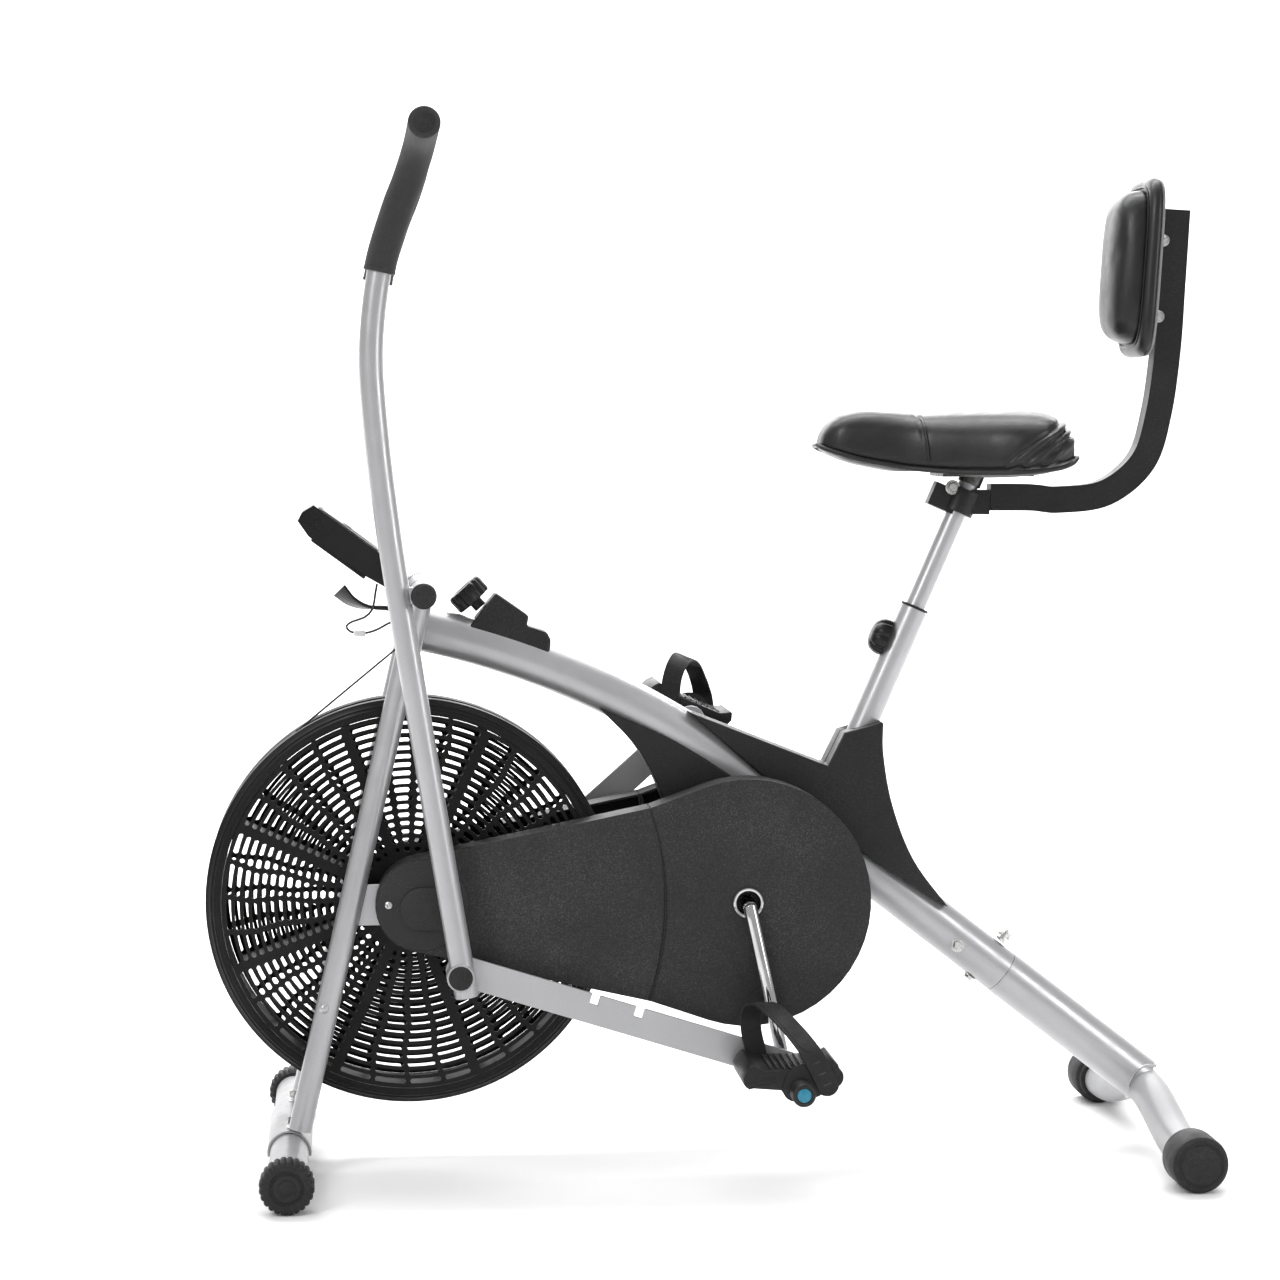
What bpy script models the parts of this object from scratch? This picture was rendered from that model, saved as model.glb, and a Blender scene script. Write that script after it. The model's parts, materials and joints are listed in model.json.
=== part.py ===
"""Air bike: a fan-wheel exercise bike with moving handle levers and an adjustable seat.

Metres, +Z up.  +X points to the rear of the bike, -Y is the rider's left side.
The origin is on the floor under the middle of the bike.
"""
import math

import bmesh
import bpy
from mathutils import Matrix, Vector

# ---- Driving dimensions -------------------------------------------------------------
GAP = 0.0003                     # gap between pieces that touch
SIDES = (("left", -1), ("right", 1))

FAN = Vector((-0.317, 0.0, 0.288))       # fan axle
FAN_R = 0.219                    # outside of the rim flanges
DISC_R = 0.2105                  # slotted side discs
DISC_Y = 0.0415                  # outer face of a side disc
HUB_R = 0.030
BLADES = 8                       # fan blades, each behind a wide rib of the discs
FIRST_BLADE = 20.5               # angle of the first blade, in degrees
AXLE_R = 0.005
BELT_R = 0.2170                  # inside of the friction belt
GROOVE_R = 0.2156                # bottom of the rim groove that it lies in

CRANK = Vector((0.0425, 0.0, 0.288))     # crank axle
CRANK_LENGTH = 0.180
CRANK_ANGLE = math.radians(12.2)         # left arm, behind straight down
CRANK_R = 0.0075                 # round bar that the crank is bent from
ARM_Y = 0.0975                   # middle of the crank arms
SPINDLE_R = 0.006
SPINDLE_END = 0.238

CHAIN_Y = 0.054                  # plane of the chain, on the right side
CHAINRING_R = 0.0850
FREEWHEEL_R = 0.0270
CHAIN_HALF = 0.0034              # half the height of a chain link

PIVOT = Vector((-0.303, 0.0, 0.622))     # upper pivot of both handle levers
LEVER_FOOT = Vector((-0.267, 0.0, 0.2217))   # lower pivot, at rest
LEVER_Y = 0.128
LEVER_R = 0.0127
SLEEVE_R = 0.0135
SHAFT_R = 0.0095
HEAD_HALF = 0.068                # half width of the head tube
SLEEVE_END = 0.1415

PEDAL_TILT = {"left": 0.0, "right": math.radians(23)}     # rear edge down
STRAP_RISE = {"left": 1.0, "right": 0.80}        # the right strap is pulled tighter

BAR_Y = 0.1115                   # middle plane of the flat link bars
BAR_T = 0.005
BAR_HALF = 0.016

TUBE_R = 0.0245                  # main tube
HEAD_POINT = Vector((-0.298, 0.0, 0.579))
BEND_R = 0.92
BEND_FROM, BEND_TO = math.radians(13), math.radians(38)
JOINT_X = 0.334                  # where the rear tube plugs onto the main tube
FOOT_R = 0.0205                  # both floor tubes
REAR_X = 0.4955
CAP_R = 0.0306
CAP_STEPS = 20
REAR_Z = CAP_R * math.cos(math.pi / CAP_STEPS)   # a flat of each rear cap lies on the floor
REAR_RISE = 0.034                # the rear floor tube bows up in the middle
FRONT = Vector((-0.448, 0.0, 0.0285))
WHEEL_R = 0.0285
FLOOR_HALF = 0.218               # half length of the floor tubes

LEG_R = 0.0127
LEG_TOP = Vector((-0.306, 0.056, 0.6134))
LEG_BOTTOM = Vector((-0.4368, 0.078, 0.0512))

SEAT_FOOT = Vector((0.1815, 0.0, 0.4733))
SEAT_LEAN = math.radians(23.8)
SEAT_UP = Vector((math.sin(SEAT_LEAN), 0.0, math.cos(SEAT_LEAN)))
SEAT_R = 0.015
POST_R = 0.011
SEAT_TOP = 0.135                 # top of the seat tube, along SEAT_UP from SEAT_FOOT
POST_TOP = 0.291
POST_IN = 0.11                   # post held in the seat tube, at rest

COVER_FACE = 0.086               # outer face of the chain covers
COVER_RIM = 0.046                # inner edge of their skirts
WALL = 0.0025
COVER_R = 0.133
BOSS = Vector((-0.305, 0.0, 0.291))
BOSS_R = 0.050
SEAM_TOP = (-0.0624, 0.3915)
SEAM_BOTTOM = (-0.0640, 0.1841)
SEAM_BULGE = 0.017

# ---- Scene, collections and materials -----------------------------------------------
for old in list(bpy.data.objects):
    bpy.data.objects.remove(old)

parts = bpy.data.collections.new("air_bike")
tools = bpy.data.collections.new("cutters")
for collection in (parts, tools):
    bpy.context.scene.collection.children.link(collection)


def material(name, colour, roughness, metallic=0.0):
    mat = bpy.data.materials.new(name)
    mat.use_nodes = True
    shader = mat.node_tree.nodes["Principled BSDF"]
    shader.inputs["Base Color"].default_value = (*colour, 1.0)
    shader.inputs["Roughness"].default_value = roughness
    shader.inputs["Metallic"].default_value = metallic
    return mat


SILVER = material("silver_paint", (0.52, 0.52, 0.54), 0.38, 0.3)
PLASTIC = material("black_plastic", (0.035, 0.035, 0.037), 0.6)
RUBBER = material("black_rubber", (0.02, 0.02, 0.02), 0.8)
CHROME = material("chrome", (0.8, 0.8, 0.8), 0.12, 1.0)
STEEL = material("dark_steel", (0.2, 0.2, 0.2), 0.4, 1.0)
VINYL = material("black_vinyl", (0.02, 0.02, 0.022), 0.35)
BLACK_PAINT = material("black_paint", (0.03, 0.03, 0.03), 0.45)
FOAM = material("grip_foam", (0.03, 0.03, 0.032), 0.9)
BELT = material("friction_belt", (0.06, 0.055, 0.05), 0.85)
CORD = material("cable_jacket", (0.02, 0.02, 0.02), 0.5)


# ---- Modelling helpers --------------------------------------------------------------
def add(name, data, mat, location=(0, 0, 0)):
    """A new object of the bike, with its material."""
    obj = bpy.data.objects.new(name, data)
    obj.location = location
    data.materials.append(mat)
    parts.objects.link(obj)
    return obj


def as_tool(obj):
    """Moves an object to the cutters, where it is only used by Boolean modifiers."""
    parts.objects.unlink(obj)
    tools.objects.link(obj)
    obj.hide_render = True
    obj.display_type = "WIRE"
    return obj


def as_mesh(obj):
    """Turns a curve object into a mesh object with welded caps."""
    view = bpy.context.evaluated_depsgraph_get()
    mesh = bpy.data.meshes.new_from_object(obj.evaluated_get(view))
    work = bmesh.new()
    work.from_mesh(mesh)
    bmesh.ops.remove_doubles(work, verts=work.verts, dist=0.00001)
    bmesh.ops.recalc_face_normals(work, faces=work.faces)
    work.to_mesh(mesh)
    work.free()
    name, matrix, mat = obj.name, obj.matrix_world.copy(), obj.data.materials[0]
    bpy.data.objects.remove(obj)
    mesh.materials.clear()
    solid = add(name, mesh, mat)
    solid.matrix_world = matrix
    return smooth(solid)


def smooth(obj):
    obj.data.shade_smooth()
    obj.data.set_sharp_from_angle(angle=math.radians(35))
    return obj


def boolean(obj, other, operation):
    """Cuts another object out of obj, or joins it on; the other one becomes a tool."""
    if other.name in parts.objects:
        as_tool(other)
    step = obj.modifiers.new(operation.lower(), "BOOLEAN")
    step.operation = operation
    step.object = other
    step.solver = "EXACT"
    return obj


def tube(name, points, radius, mat, resolution=6):
    """A round bar or tube along a list of points."""
    curve = bpy.data.curves.new(name, "CURVE")
    curve.dimensions = "3D"
    curve.bevel_depth = radius
    curve.bevel_resolution = resolution
    curve.use_fill_caps = True
    spline = curve.splines.new("POLY")
    spline.points.add(len(points) - 1)
    for point, place in zip(spline.points, points):
        point.co = (*place, 1.0)
    return as_mesh(add(name, curve, mat))


def outline_curve(name, outlines, half, mat, y, fill):
    """A flat outline in the XZ plane at y, with holes, thickened along Y."""
    curve = bpy.data.curves.new(name, "CURVE")
    curve.dimensions = "2D"
    curve.fill_mode = fill
    curve.extrude = half
    for outline in outlines:
        spline = curve.splines.new("POLY")
        spline.points.add(len(outline) - 1)
        spline.use_cyclic_u = True
        for point, (x, z) in zip(spline.points, outline):
            point.co = (x, z, 0.0, 1.0)
    obj = add(name, curve, mat, (0, y, 0))
    obj.rotation_euler = (math.pi / 2, 0, 0)
    bpy.context.view_layer.update()
    return obj


def plate(name, outlines, y, half, mat):
    return as_mesh(outline_curve(name, outlines, half, mat, y, "BOTH"))


def shell(name, outlines, y_face, y_rim, mat):
    """An open moulded cover: a face at y_face with a skirt down to y_rim."""
    fill = "FRONT" if y_face < y_rim else "BACK"
    middle, half = (y_face + y_rim) / 2, abs(y_face - y_rim) / 2
    obj = as_mesh(outline_curve(name, outlines, half, mat, middle, fill))
    wall = obj.modifiers.new("wall", "SOLIDIFY")
    wall.thickness = WALL
    wall.offset = -1.0
    wall.use_even_offset = True
    return obj


def turned(name, profile, mat, centre=(0, 0, 0), axis=(0, 1, 0), steps=24, closed=False):
    """A solid of revolution; profile holds (radius, height) from the top down."""
    mesh = bpy.data.meshes.new(name)
    work = bmesh.new()
    verts = [work.verts.new((r, 0.0, h)) for r, h in profile]
    for a, b in zip(verts, verts[1:]):
        work.edges.new((a, b))
    if closed:
        work.edges.new((verts[-1], verts[0]))
    work.to_mesh(mesh)
    work.free()
    obj = add(name, mesh, mat, centre)
    obj.rotation_euler = Vector(axis).to_track_quat("Z", "Y").to_euler()
    spin = obj.modifiers.new("turn", "SCREW")
    spin.steps = spin.render_steps = steps
    spin.use_merge_vertices = True
    spin.merge_threshold = 0.00001
    spin.use_normal_calculate = True
    bpy.context.view_layer.update()
    return as_mesh(obj)


def cylinder(name, radius, low, high, mat, centre=(0, 0, 0), axis=(0, 1, 0), steps=24):
    profile = [(0, high), (radius, high), (radius, low), (0, low)]
    return turned(name, profile, mat, centre, axis, steps)


def ring(name, outer, inner, low, high, mat, centre=(0, 0, 0), axis=(0, 1, 0), steps=24):
    profile = [(outer, high), (outer, low), (inner, low), (inner, high)]
    return turned(name, profile, mat, centre, axis, steps, closed=True)


def box(name, size, centre, mat, tilt=0.0):
    """A box, turned about Y by tilt."""
    mesh = bpy.data.meshes.new(name)
    work = bmesh.new()
    bmesh.ops.create_cube(work, size=1.0, matrix=Matrix.Diagonal((*size, 1.0)))
    work.to_mesh(mesh)
    work.free()
    obj = add(name, mesh, mat, centre)
    obj.rotation_euler = (0, tilt, 0)
    return obj


def loft(name, rings, mat):
    """A closed skin through rings of equally many points."""
    mesh = bpy.data.meshes.new(name)
    work = bmesh.new()
    loops = [[work.verts.new(place) for place in loop] for loop in rings]
    count = len(loops[0])
    for a, b in zip(loops, loops[1:]):
        for i in range(count):
            work.faces.new((a[i], a[(i + 1) % count], b[(i + 1) % count], b[i]))
    work.faces.new(loops[0])
    work.faces.new(loops[-1])
    bmesh.ops.recalc_face_normals(work, faces=work.faces)
    work.to_mesh(mesh)
    work.free()
    return smooth(add(name, mesh, mat))


def arc(centre, radius, start, end, count):
    """Points (x, z) on an arc, angles in degrees."""
    angles = [math.radians(start + (end - start) * i / (count - 1)) for i in range(count)]
    return [(centre[0] + radius * math.cos(a), centre[1] + radius * math.sin(a)) for a in angles]


def circle(centre, radius, count):
    return arc(centre, radius, 0, 360, count + 1)[:-1]


def smooth_path(points, per_span):
    """A smooth curve (Catmull-Rom) through the points."""
    places = [Vector(p) for p in points]
    padded = [places[0] * 2 - places[1], *places, places[-1] * 2 - places[-2]]
    path = []
    for a, b, c, d in zip(padded, padded[1:], padded[2:], padded[3:]):
        for i in range(per_span):
            t = i / per_span
            path.append(((2 * b) + (c - a) * t + (2 * a - 5 * b + 4 * c - d) * t ** 2
                         + (3 * b - a - 3 * c + d) * t ** 3) / 2)
    return path + [places[-1]]


def ribbon(points, half):
    """The outline of a band of even width along (x, z) points."""
    places = [Vector(p) for p in points]
    left, right = [], []
    for i, place in enumerate(places):
        along = (places[min(i + 1, len(places) - 1)] - places[max(i - 1, 0)]).normalized()
        across = Vector((-along.y, along.x)) * half
        left.append(tuple(place + across))
        right.append(tuple(place - across))
    return left + right[::-1]


def xz(vector):
    return vector.x, vector.z


def on_axis(name, place, pieces):
    """Parents pieces to an empty on their joint axis, without moving them."""
    empty = bpy.data.objects.new(name, None)
    empty.location = place
    parts.objects.link(empty)
    bpy.context.view_layer.update()
    for piece in pieces:
        piece.parent = empty
        piece.matrix_parent_inverse = empty.matrix_world.inverted()
    return empty


# ---- Main frame ---------------------------------------------------------------------
def main_path():
    """Centre line of the main tube: an arc, then straight down to the joint."""
    path = []
    for i in range(11):
        a = BEND_FROM + (BEND_TO - BEND_FROM) * i / 10
        dx = BEND_R * (math.sin(a) - math.sin(BEND_FROM))
        dz = BEND_R * (math.cos(BEND_FROM) - math.cos(a))
        path.append(HEAD_POINT + Vector((dx, 0, -dz)))
    end = path[-1]
    path.append(on_straight(JOINT_X, end))
    return path


def on_straight(x, start):
    return Vector((x, 0, start.z - (x - start.x) * math.tan(BEND_TO)))


def floor_tube_path():
    """The rear floor tube: flat at its ends, bowed up in the middle."""
    path = []
    for i in range(-7, 8):
        y = FLOOR_HALF * i / 7
        bow = 0.5 + 0.5 * math.cos(math.pi * min(abs(y) / 0.19, 1.0))
        path.append(Vector((REAR_X, y, REAR_Z + REAR_RISE * bow)))
    return path


main_line = main_path()
straight_from = main_line[-2]
main_cutter = as_tool(tube("main_cutter", main_line, TUBE_R + GAP, SILVER, 8))
head_cutter = as_tool(cylinder("head_cutter", SLEEVE_R + GAP, -0.2, 0.2, SILVER, PIVOT))
foot_cutter = as_tool(tube("foot_cutter", floor_tube_path(), FOOT_R + GAP, SILVER, 5))


def make_frame():
    tube("main_tube", main_line, TUBE_R, SILVER, 8)
    start = on_straight(JOINT_X + 0.0006, straight_from)
    rear = tube("rear_tube", [start, on_straight(REAR_X - 0.002, straight_from)],
                TUBE_R + 0.0005, SILVER, 8)
    boolean(rear, foot_cutter, "DIFFERENCE")
    tube("rear_stabiliser", floor_tube_path(), FOOT_R, SILVER, 5)
    for side, sign in SIDES:
        inner, mouth, end = FOOT_R + GAP, FLOOR_HALF - 0.026, FLOOR_HALF + 0.031
        profile = [(0, end), (CAP_R * 0.8, end), (CAP_R, end - 0.006), (CAP_R, mouth + 0.012),
                   (FOOT_R + 0.005, mouth + 0.008), (FOOT_R + 0.005, mouth), (inner, mouth),
                   (inner, FLOOR_HALF + GAP), (0, FLOOR_HALF + GAP)]
        cap = turned("rear_cap_" + side, profile, RUBBER, (REAR_X, 0, REAR_Z), (0, sign, 0),
                     CAP_STEPS)
        cap.rotation_euler.rotate_axis("Z", math.pi / CAP_STEPS)


def make_head():
    """Cross tube with the lever shaft, and the plate that the main tube is welded to."""
    shaft = SLEEVE_END + 0.0005
    profile = [(0, shaft), (SHAFT_R, shaft), (SHAFT_R, HEAD_HALF), (SLEEVE_R, HEAD_HALF),
               (SLEEVE_R, -HEAD_HALF), (SHAFT_R, -HEAD_HALF), (SHAFT_R, -shaft), (0, -shaft)]
    head = turned("head_tube", profile, SILVER, PIVOT)
    ahead = Vector((-math.cos(BEND_FROM), 0, math.sin(BEND_FROM)))
    up = Vector((math.sin(BEND_FROM), 0, math.cos(BEND_FROM)))
    back_plate = box("head_plate", (0.004, 0.084, 0.066), HEAD_POINT + ahead * 0.0029 + up * 0.008,
                     SILVER, BEND_FROM)
    boolean(head, back_plate, "UNION")


def make_fork():
    boolean_sleeve = as_tool(cylinder("sleeve_cutter", 0.0238, -0.1, 0.1, SILVER, FRONT))
    for side, sign in SIDES:
        flip = Vector((1, sign, 1))
        leg = tube("fork_leg_" + side, [LEG_BOTTOM * flip, LEG_TOP * flip], LEG_R, SILVER, 6)
        boolean(leg, head_cutter, "DIFFERENCE")
        boolean(leg, boolean_sleeve, "DIFFERENCE")
        hole = circle(xz(FAN), AXLE_R + GAP, 12)
        lug = [(-0.388, 0.268), (-0.300, 0.268), (-0.300, 0.312), (-0.376, 0.312)]
        lug_y = sign * 0.0685
        bracket = plate("axle_bracket_" + side, [lug, hole], lug_y, 0.0015, SILVER)
        leg_cutter = tube("leg_cutter_" + side, [LEG_BOTTOM * flip, LEG_TOP * flip],
                          LEG_R + GAP, SILVER, 6)
        boolean(bracket, leg_cutter, "DIFFERENCE")


def make_front_foot():
    end = FLOOR_HALF + 0.0285
    profile = [(0, end), (SPINDLE_R, end), (SPINDLE_R, FLOOR_HALF), (FOOT_R, FLOOR_HALF),
               (FOOT_R, -FLOOR_HALF), (SPINDLE_R, -FLOOR_HALF), (SPINDLE_R, -end), (0, -end)]
    turned("front_stabiliser", profile, SILVER, FRONT)
    cover = arc(xz(FRONT), 0.0235, -10, 190, 17) + arc(xz(FRONT), FOOT_R + GAP, 190, -10, 17)
    plate("front_saddle", [cover], 0, 0.085, SILVER)
    for side, sign in SIDES:
        low, high = FLOOR_HALF + 0.001, FLOOR_HALF + 0.0305
        bore = SPINDLE_R + GAP
        profile = [(0, high), (WHEEL_R * 0.8, high), (WHEEL_R, high - 0.005), (WHEEL_R, low + 0.004),
                   (WHEEL_R * 0.85, low), (bore, low), (bore, end + GAP), (0, end + GAP)]
        wheel = turned("front_wheel_" + side, profile, RUBBER, FRONT, (0, sign, 0))
        on_axis("wheel_axis_" + side, FRONT, [wheel])


make_frame()
make_head()
make_fork()
make_front_foot()


# ---- Fan wheel, belt and chain drive ------------------------------------------------
def disc_windows(inner, outer, rib):
    """Sector openings of a side disc, leaving ribs between them."""
    windows = []
    for i in range(BLADES):
        a = FIRST_BLADE + 360 * i / BLADES + rib / 2
        b = FIRST_BLADE + 360 * (i + 1) / BLADES - rib / 2
        squeeze = rib * (outer / inner - 1) / 4
        windows.append(arc(xz(FAN), outer, a, b, 6)
                       + arc(xz(FAN), inner, b - squeeze, a + squeeze, 4))
    return windows


def blade_outline(root, tip, thickness):
    """Hub with straight radial blades, as one outline."""
    points = []
    for i in range(BLADES):
        a = math.radians(FIRST_BLADE) + 2 * math.pi * i / BLADES
        out, side = Vector((math.cos(a), math.sin(a))), Vector((-math.sin(a), math.cos(a)))
        for reach, shift in ((root, -1), (tip, -1), (tip, 1), (root, 1)):
            place = Vector(xz(FAN)) + out * reach + side * thickness / 2 * shift
            points.append(tuple(place))
    return points


def make_fan():
    bore = circle(xz(FAN), AXLE_R + GAP, 12)
    rim_in, flange = 0.2020, 0.0015
    for side, sign in SIDES:
        outline = [circle(xz(FAN), rim_in - GAP, 40), bore] + disc_windows(0.058, 0.186, 5)
        plate("fan_disc_" + side, outline, sign * (DISC_Y - flange), flange, PLASTIC)
    half_rim = [(DISC_R, DISC_Y), (FAN_R, DISC_Y - 0.010), (FAN_R, 0.0125), (GROOVE_R, 0.0125)]
    profile = half_rim + [(r, -h) for r, h in half_rim[::-1]] + [(rim_in, -DISC_Y), (rim_in, DISC_Y)]
    rim = turned("fan_rim", profile, PLASTIC, FAN, steps=40, closed=True)
    blades = plate("fan_blades", [blade_outline(HUB_R, 0.196, 0.003), bore], 0,
                   DISC_Y - 2 * flange - GAP, PLASTIC)
    axle = cylinder("fan_axle", AXLE_R, -0.078, 0.078, STEEL, FAN, steps=12)
    bore_r = AXLE_R + GAP
    profile = [(0.019, 0.064), (0.019, CHAIN_Y + 0.0015), (FREEWHEEL_R - 0.004, CHAIN_Y + 0.0015),
               (FREEWHEEL_R - 0.004, CHAIN_Y - 0.0015), (0.019, CHAIN_Y - 0.0015), (0.019, 0.042),
               (bore_r, 0.042), (bore_r, 0.064)]
    wheel = turned("freewheel", profile, STEEL, FAN, closed=True)
    discs = [bpy.data.objects["fan_disc_" + side] for side, _ in SIDES]
    on_axis("fan_axis", FAN, [*discs, rim, blades, wheel])
    return axle


def racetrack(r_rear, r_front, count):
    """Closed loop round the chainring and the freewheel."""
    reach = CRANK.x - FAN.x
    lean = math.degrees(math.asin((r_rear - r_front) / reach))
    rear = arc(xz(CRANK), r_rear, -90 - lean, 90 + lean, count)
    front = arc(xz(FAN), r_front, 90 + lean, 270 - lean, count // 2)
    return rear + front


def make_drive():
    belt = arc(xz(FAN), BELT_R + 0.0015, 124, 325, 28) + arc(xz(FAN), BELT_R, 325, 124, 28)
    plate("brake_belt", [belt], 0, 0.010, BELT)
    outer = racetrack(CHAINRING_R + CHAIN_HALF, FREEWHEEL_R + CHAIN_HALF, 20)
    inner = racetrack(CHAINRING_R - CHAIN_HALF, FREEWHEEL_R - CHAIN_HALF, 20)
    plate("chain", [outer, inner], CHAIN_Y, 0.0035, STEEL)
    holes = [circle((CRANK.x + 0.05 * math.cos(a), CRANK.z + 0.05 * math.sin(a)), 0.017, 8)
             for a in (math.radians(72 * i) for i in range(5))]
    bore = circle(xz(CRANK), CRANK_R + GAP, 16)
    rim = circle(xz(CRANK), CHAINRING_R - CHAIN_HALF - 2 * GAP, 36)
    return plate("chainring", [rim, bore, *holes], CHAIN_Y, 0.0015, STEEL)


def make_crank():
    """Crank bent from one round bar, with an eye and a pedal spindle at each end."""
    left = Vector((math.sin(CRANK_ANGLE), 0, -math.cos(CRANK_ANGLE)))
    path = []
    for sign in (-1, 1):
        arm = left * -sign
        y = Vector((0, sign * ARM_Y, 0))
        corner = [CRANK + y + arm * CRANK_LENGTH, CRANK + y + arm * 0.016,
                  CRANK + y * 0.975 + arm * 0.005, CRANK + y * 0.86]
        path += corner if sign < 0 else corner[::-1]
    crank = tube("crank", path, CRANK_R, CHROME, 6)
    for sign in (-1, 1):
        pin = CRANK - left * sign * CRANK_LENGTH
        low, high = sorted((sign * (ARM_Y - 0.0078), sign * (ARM_Y + 0.0078)))
        boolean(crank, cylinder(f"eye_{sign}", 0.0125, low, high, CHROME, pin, steps=16), "UNION")
        low, high = sorted((sign * (ARM_Y + 0.002), sign * SPINDLE_END))
        boolean(crank, cylinder(f"spindle_{sign}", SPINDLE_R, low, high, CHROME, pin, steps=12),
                "UNION")
    return crank


def make_bottom_bracket():
    shell_r = 0.022
    middle = (CRANK + Vector((0.058, 0, 0.395))) / 2
    body = box("bottom_bracket", (0.034, 0.036, 0.11), middle, SILVER, math.radians(8))
    boolean(body, cylinder("bracket_shell", shell_r, -0.036, 0.036, SILVER, CRANK, steps=20), "UNION")
    bore = cylinder("bracket_bore", CRANK_R + GAP, -0.05, 0.05, SILVER, CRANK, steps=14)
    boolean(body, bore, "DIFFERENCE")
    boolean(body, main_cutter, "DIFFERENCE")
    outline = [(-0.112, 0.493), (-0.077, 0.4567), (-0.0565, 0.425), (-0.0425, 0.3933),
               (-0.025, 0.350), (0.090, 0.325), (0.125, 0.348), (0.0615, 0.398), (-0.027, 0.455)]
    guard = plate("lower_guard", [outline], 0, 0.0235, PLASTIC)
    boolean(guard, main_cutter, "DIFFERENCE")
    room = box("guard_room", (0.042, 0.040, 0.16), middle, PLASTIC, math.radians(8))
    boolean(guard, room, "DIFFERENCE")


fan_axle = make_fan()
chainring = make_drive()
crank = make_crank()
make_bottom_bracket()
crank_axis = on_axis("crank_axis", CRANK, [chainring, crank])


# ---- Chain covers and shrouds -------------------------------------------------------
def touch_angle(point, centre, radius, side):
    """Angle in degrees where a line from the point touches the circle."""
    dx, dz = point[0] - centre[0], point[1] - centre[1]
    spread = math.degrees(math.acos(radius / math.hypot(dx, dz)))
    return math.degrees(math.atan2(dz, dx)) + side * spread


def seam(shift):
    """The curved joint between the two cover pieces, top to bottom."""
    points = []
    for i in range(7):
        t = i / 6
        x = SEAM_TOP[0] + (SEAM_BOTTOM[0] - SEAM_TOP[0]) * t + SEAM_BULGE * 4 * t * (1 - t)
        points.append((x + shift, SEAM_TOP[1] + (SEAM_BOTTOM[1] - SEAM_TOP[1]) * t))
    return points


def make_covers():
    disc = xz(CRANK)
    top = touch_angle(SEAM_TOP, disc, COVER_R, -1)
    bottom = touch_angle(SEAM_BOTTOM, disc, COVER_R, 1)
    rear = arc(disc, COVER_R, top, bottom, 30) + seam(GAP)[::-1]
    boss_top = touch_angle(SEAM_TOP, xz(BOSS), BOSS_R, 1)
    boss_bottom = touch_angle(SEAM_BOTTOM, xz(BOSS), BOSS_R, -1)
    front = seam(-GAP) + arc(xz(BOSS), BOSS_R, boss_bottom + 360, boss_top, 16)
    for side, sign in SIDES:
        face, rim = sign * COVER_FACE, sign * COVER_RIM
        rear_cover = shell("cover_rear_" + side, [rear, circle(disc, 0.0175, 20)], face, rim, PLASTIC)
        front_cover = shell("cover_front_" + side, [front], face, rim, PLASTIC)
        y = sign * (COVER_FACE - WALL - 0.001 + COVER_RIM - 0.01) / 2
        depth = COVER_FACE - WALL - 0.001 - COVER_RIM + 0.01
        passage = box("chain_passage_" + side, (0.06, depth, 0.17), (-0.055, y, 0.288), PLASTIC)
        boolean(rear_cover, passage, "DIFFERENCE")
        boolean(front_cover, passage, "DIFFERENCE")
        low, high = sorted((y - depth / 2, y + depth / 2))
        hub = cylinder("hub_room_" + side, 0.022, low, high, PLASTIC, CRANK)
        boolean(rear_cover, hub, "DIFFERENCE")
        slot = box("bracket_slot_" + side, (0.07, 0.0045, 0.060), (-0.365, sign * 0.0685, 0.290),
                   PLASTIC)
        boolean(front_cover, slot, "DIFFERENCE")


def make_shrouds():
    """Two moulded halves round the foot of the seat tube."""
    outline = [(-0.016, 0.489), (0.0826, 0.4024), (0.1779, 0.3293), (0.2704, 0.2704),
               (0.2315, 0.3238), (0.2082, 0.3834), (0.198, 0.4393), (0.1978, 0.4754),
               (0.1545, 0.4640), (0.1366, 0.4281)]
    seat_hole = seat_cylinder("seat_hole", SEAT_R + GAP, -0.2, 0.2)
    for side, sign in SIDES:
        half = shell("shroud_" + side, [outline], sign * 0.0305, sign * GAP, PLASTIC)
        boolean(half, main_cutter, "DIFFERENCE")
        boolean(half, seat_hole, "DIFFERENCE")


def seat_cylinder(name, radius, low, high, mat=SILVER, steps=24):
    return cylinder(name, radius, low, high, mat, SEAT_FOOT, SEAT_UP, steps)


make_covers()
make_shrouds()


# ---- Handle levers, link bars and pedals --------------------------------------------
def lever_foot(pin):
    """Lower lever pivot for a given crank pin: where the two link lengths meet."""
    left_pin = CRANK + Vector((math.sin(CRANK_ANGLE), 0, -math.cos(CRANK_ANGLE))) * CRANK_LENGTH
    rocker, coupler = (LEVER_FOOT - PIVOT).length, (left_pin - LEVER_FOOT).length
    line = pin - PIVOT
    along = (rocker ** 2 - coupler ** 2 + line.length ** 2) / (2 * line.length)
    across = math.sqrt(rocker ** 2 - along ** 2)
    unit = line.normalized()
    return PIVOT + unit * along + Vector((unit.z, 0, -unit.x)) * across


def turn_about(point, centre, angle):
    """Turns a point about an axis along Y; a positive angle lifts +Z towards +X."""
    return centre + Matrix.Rotation(angle, 3, "Y") @ (point - centre)


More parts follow.
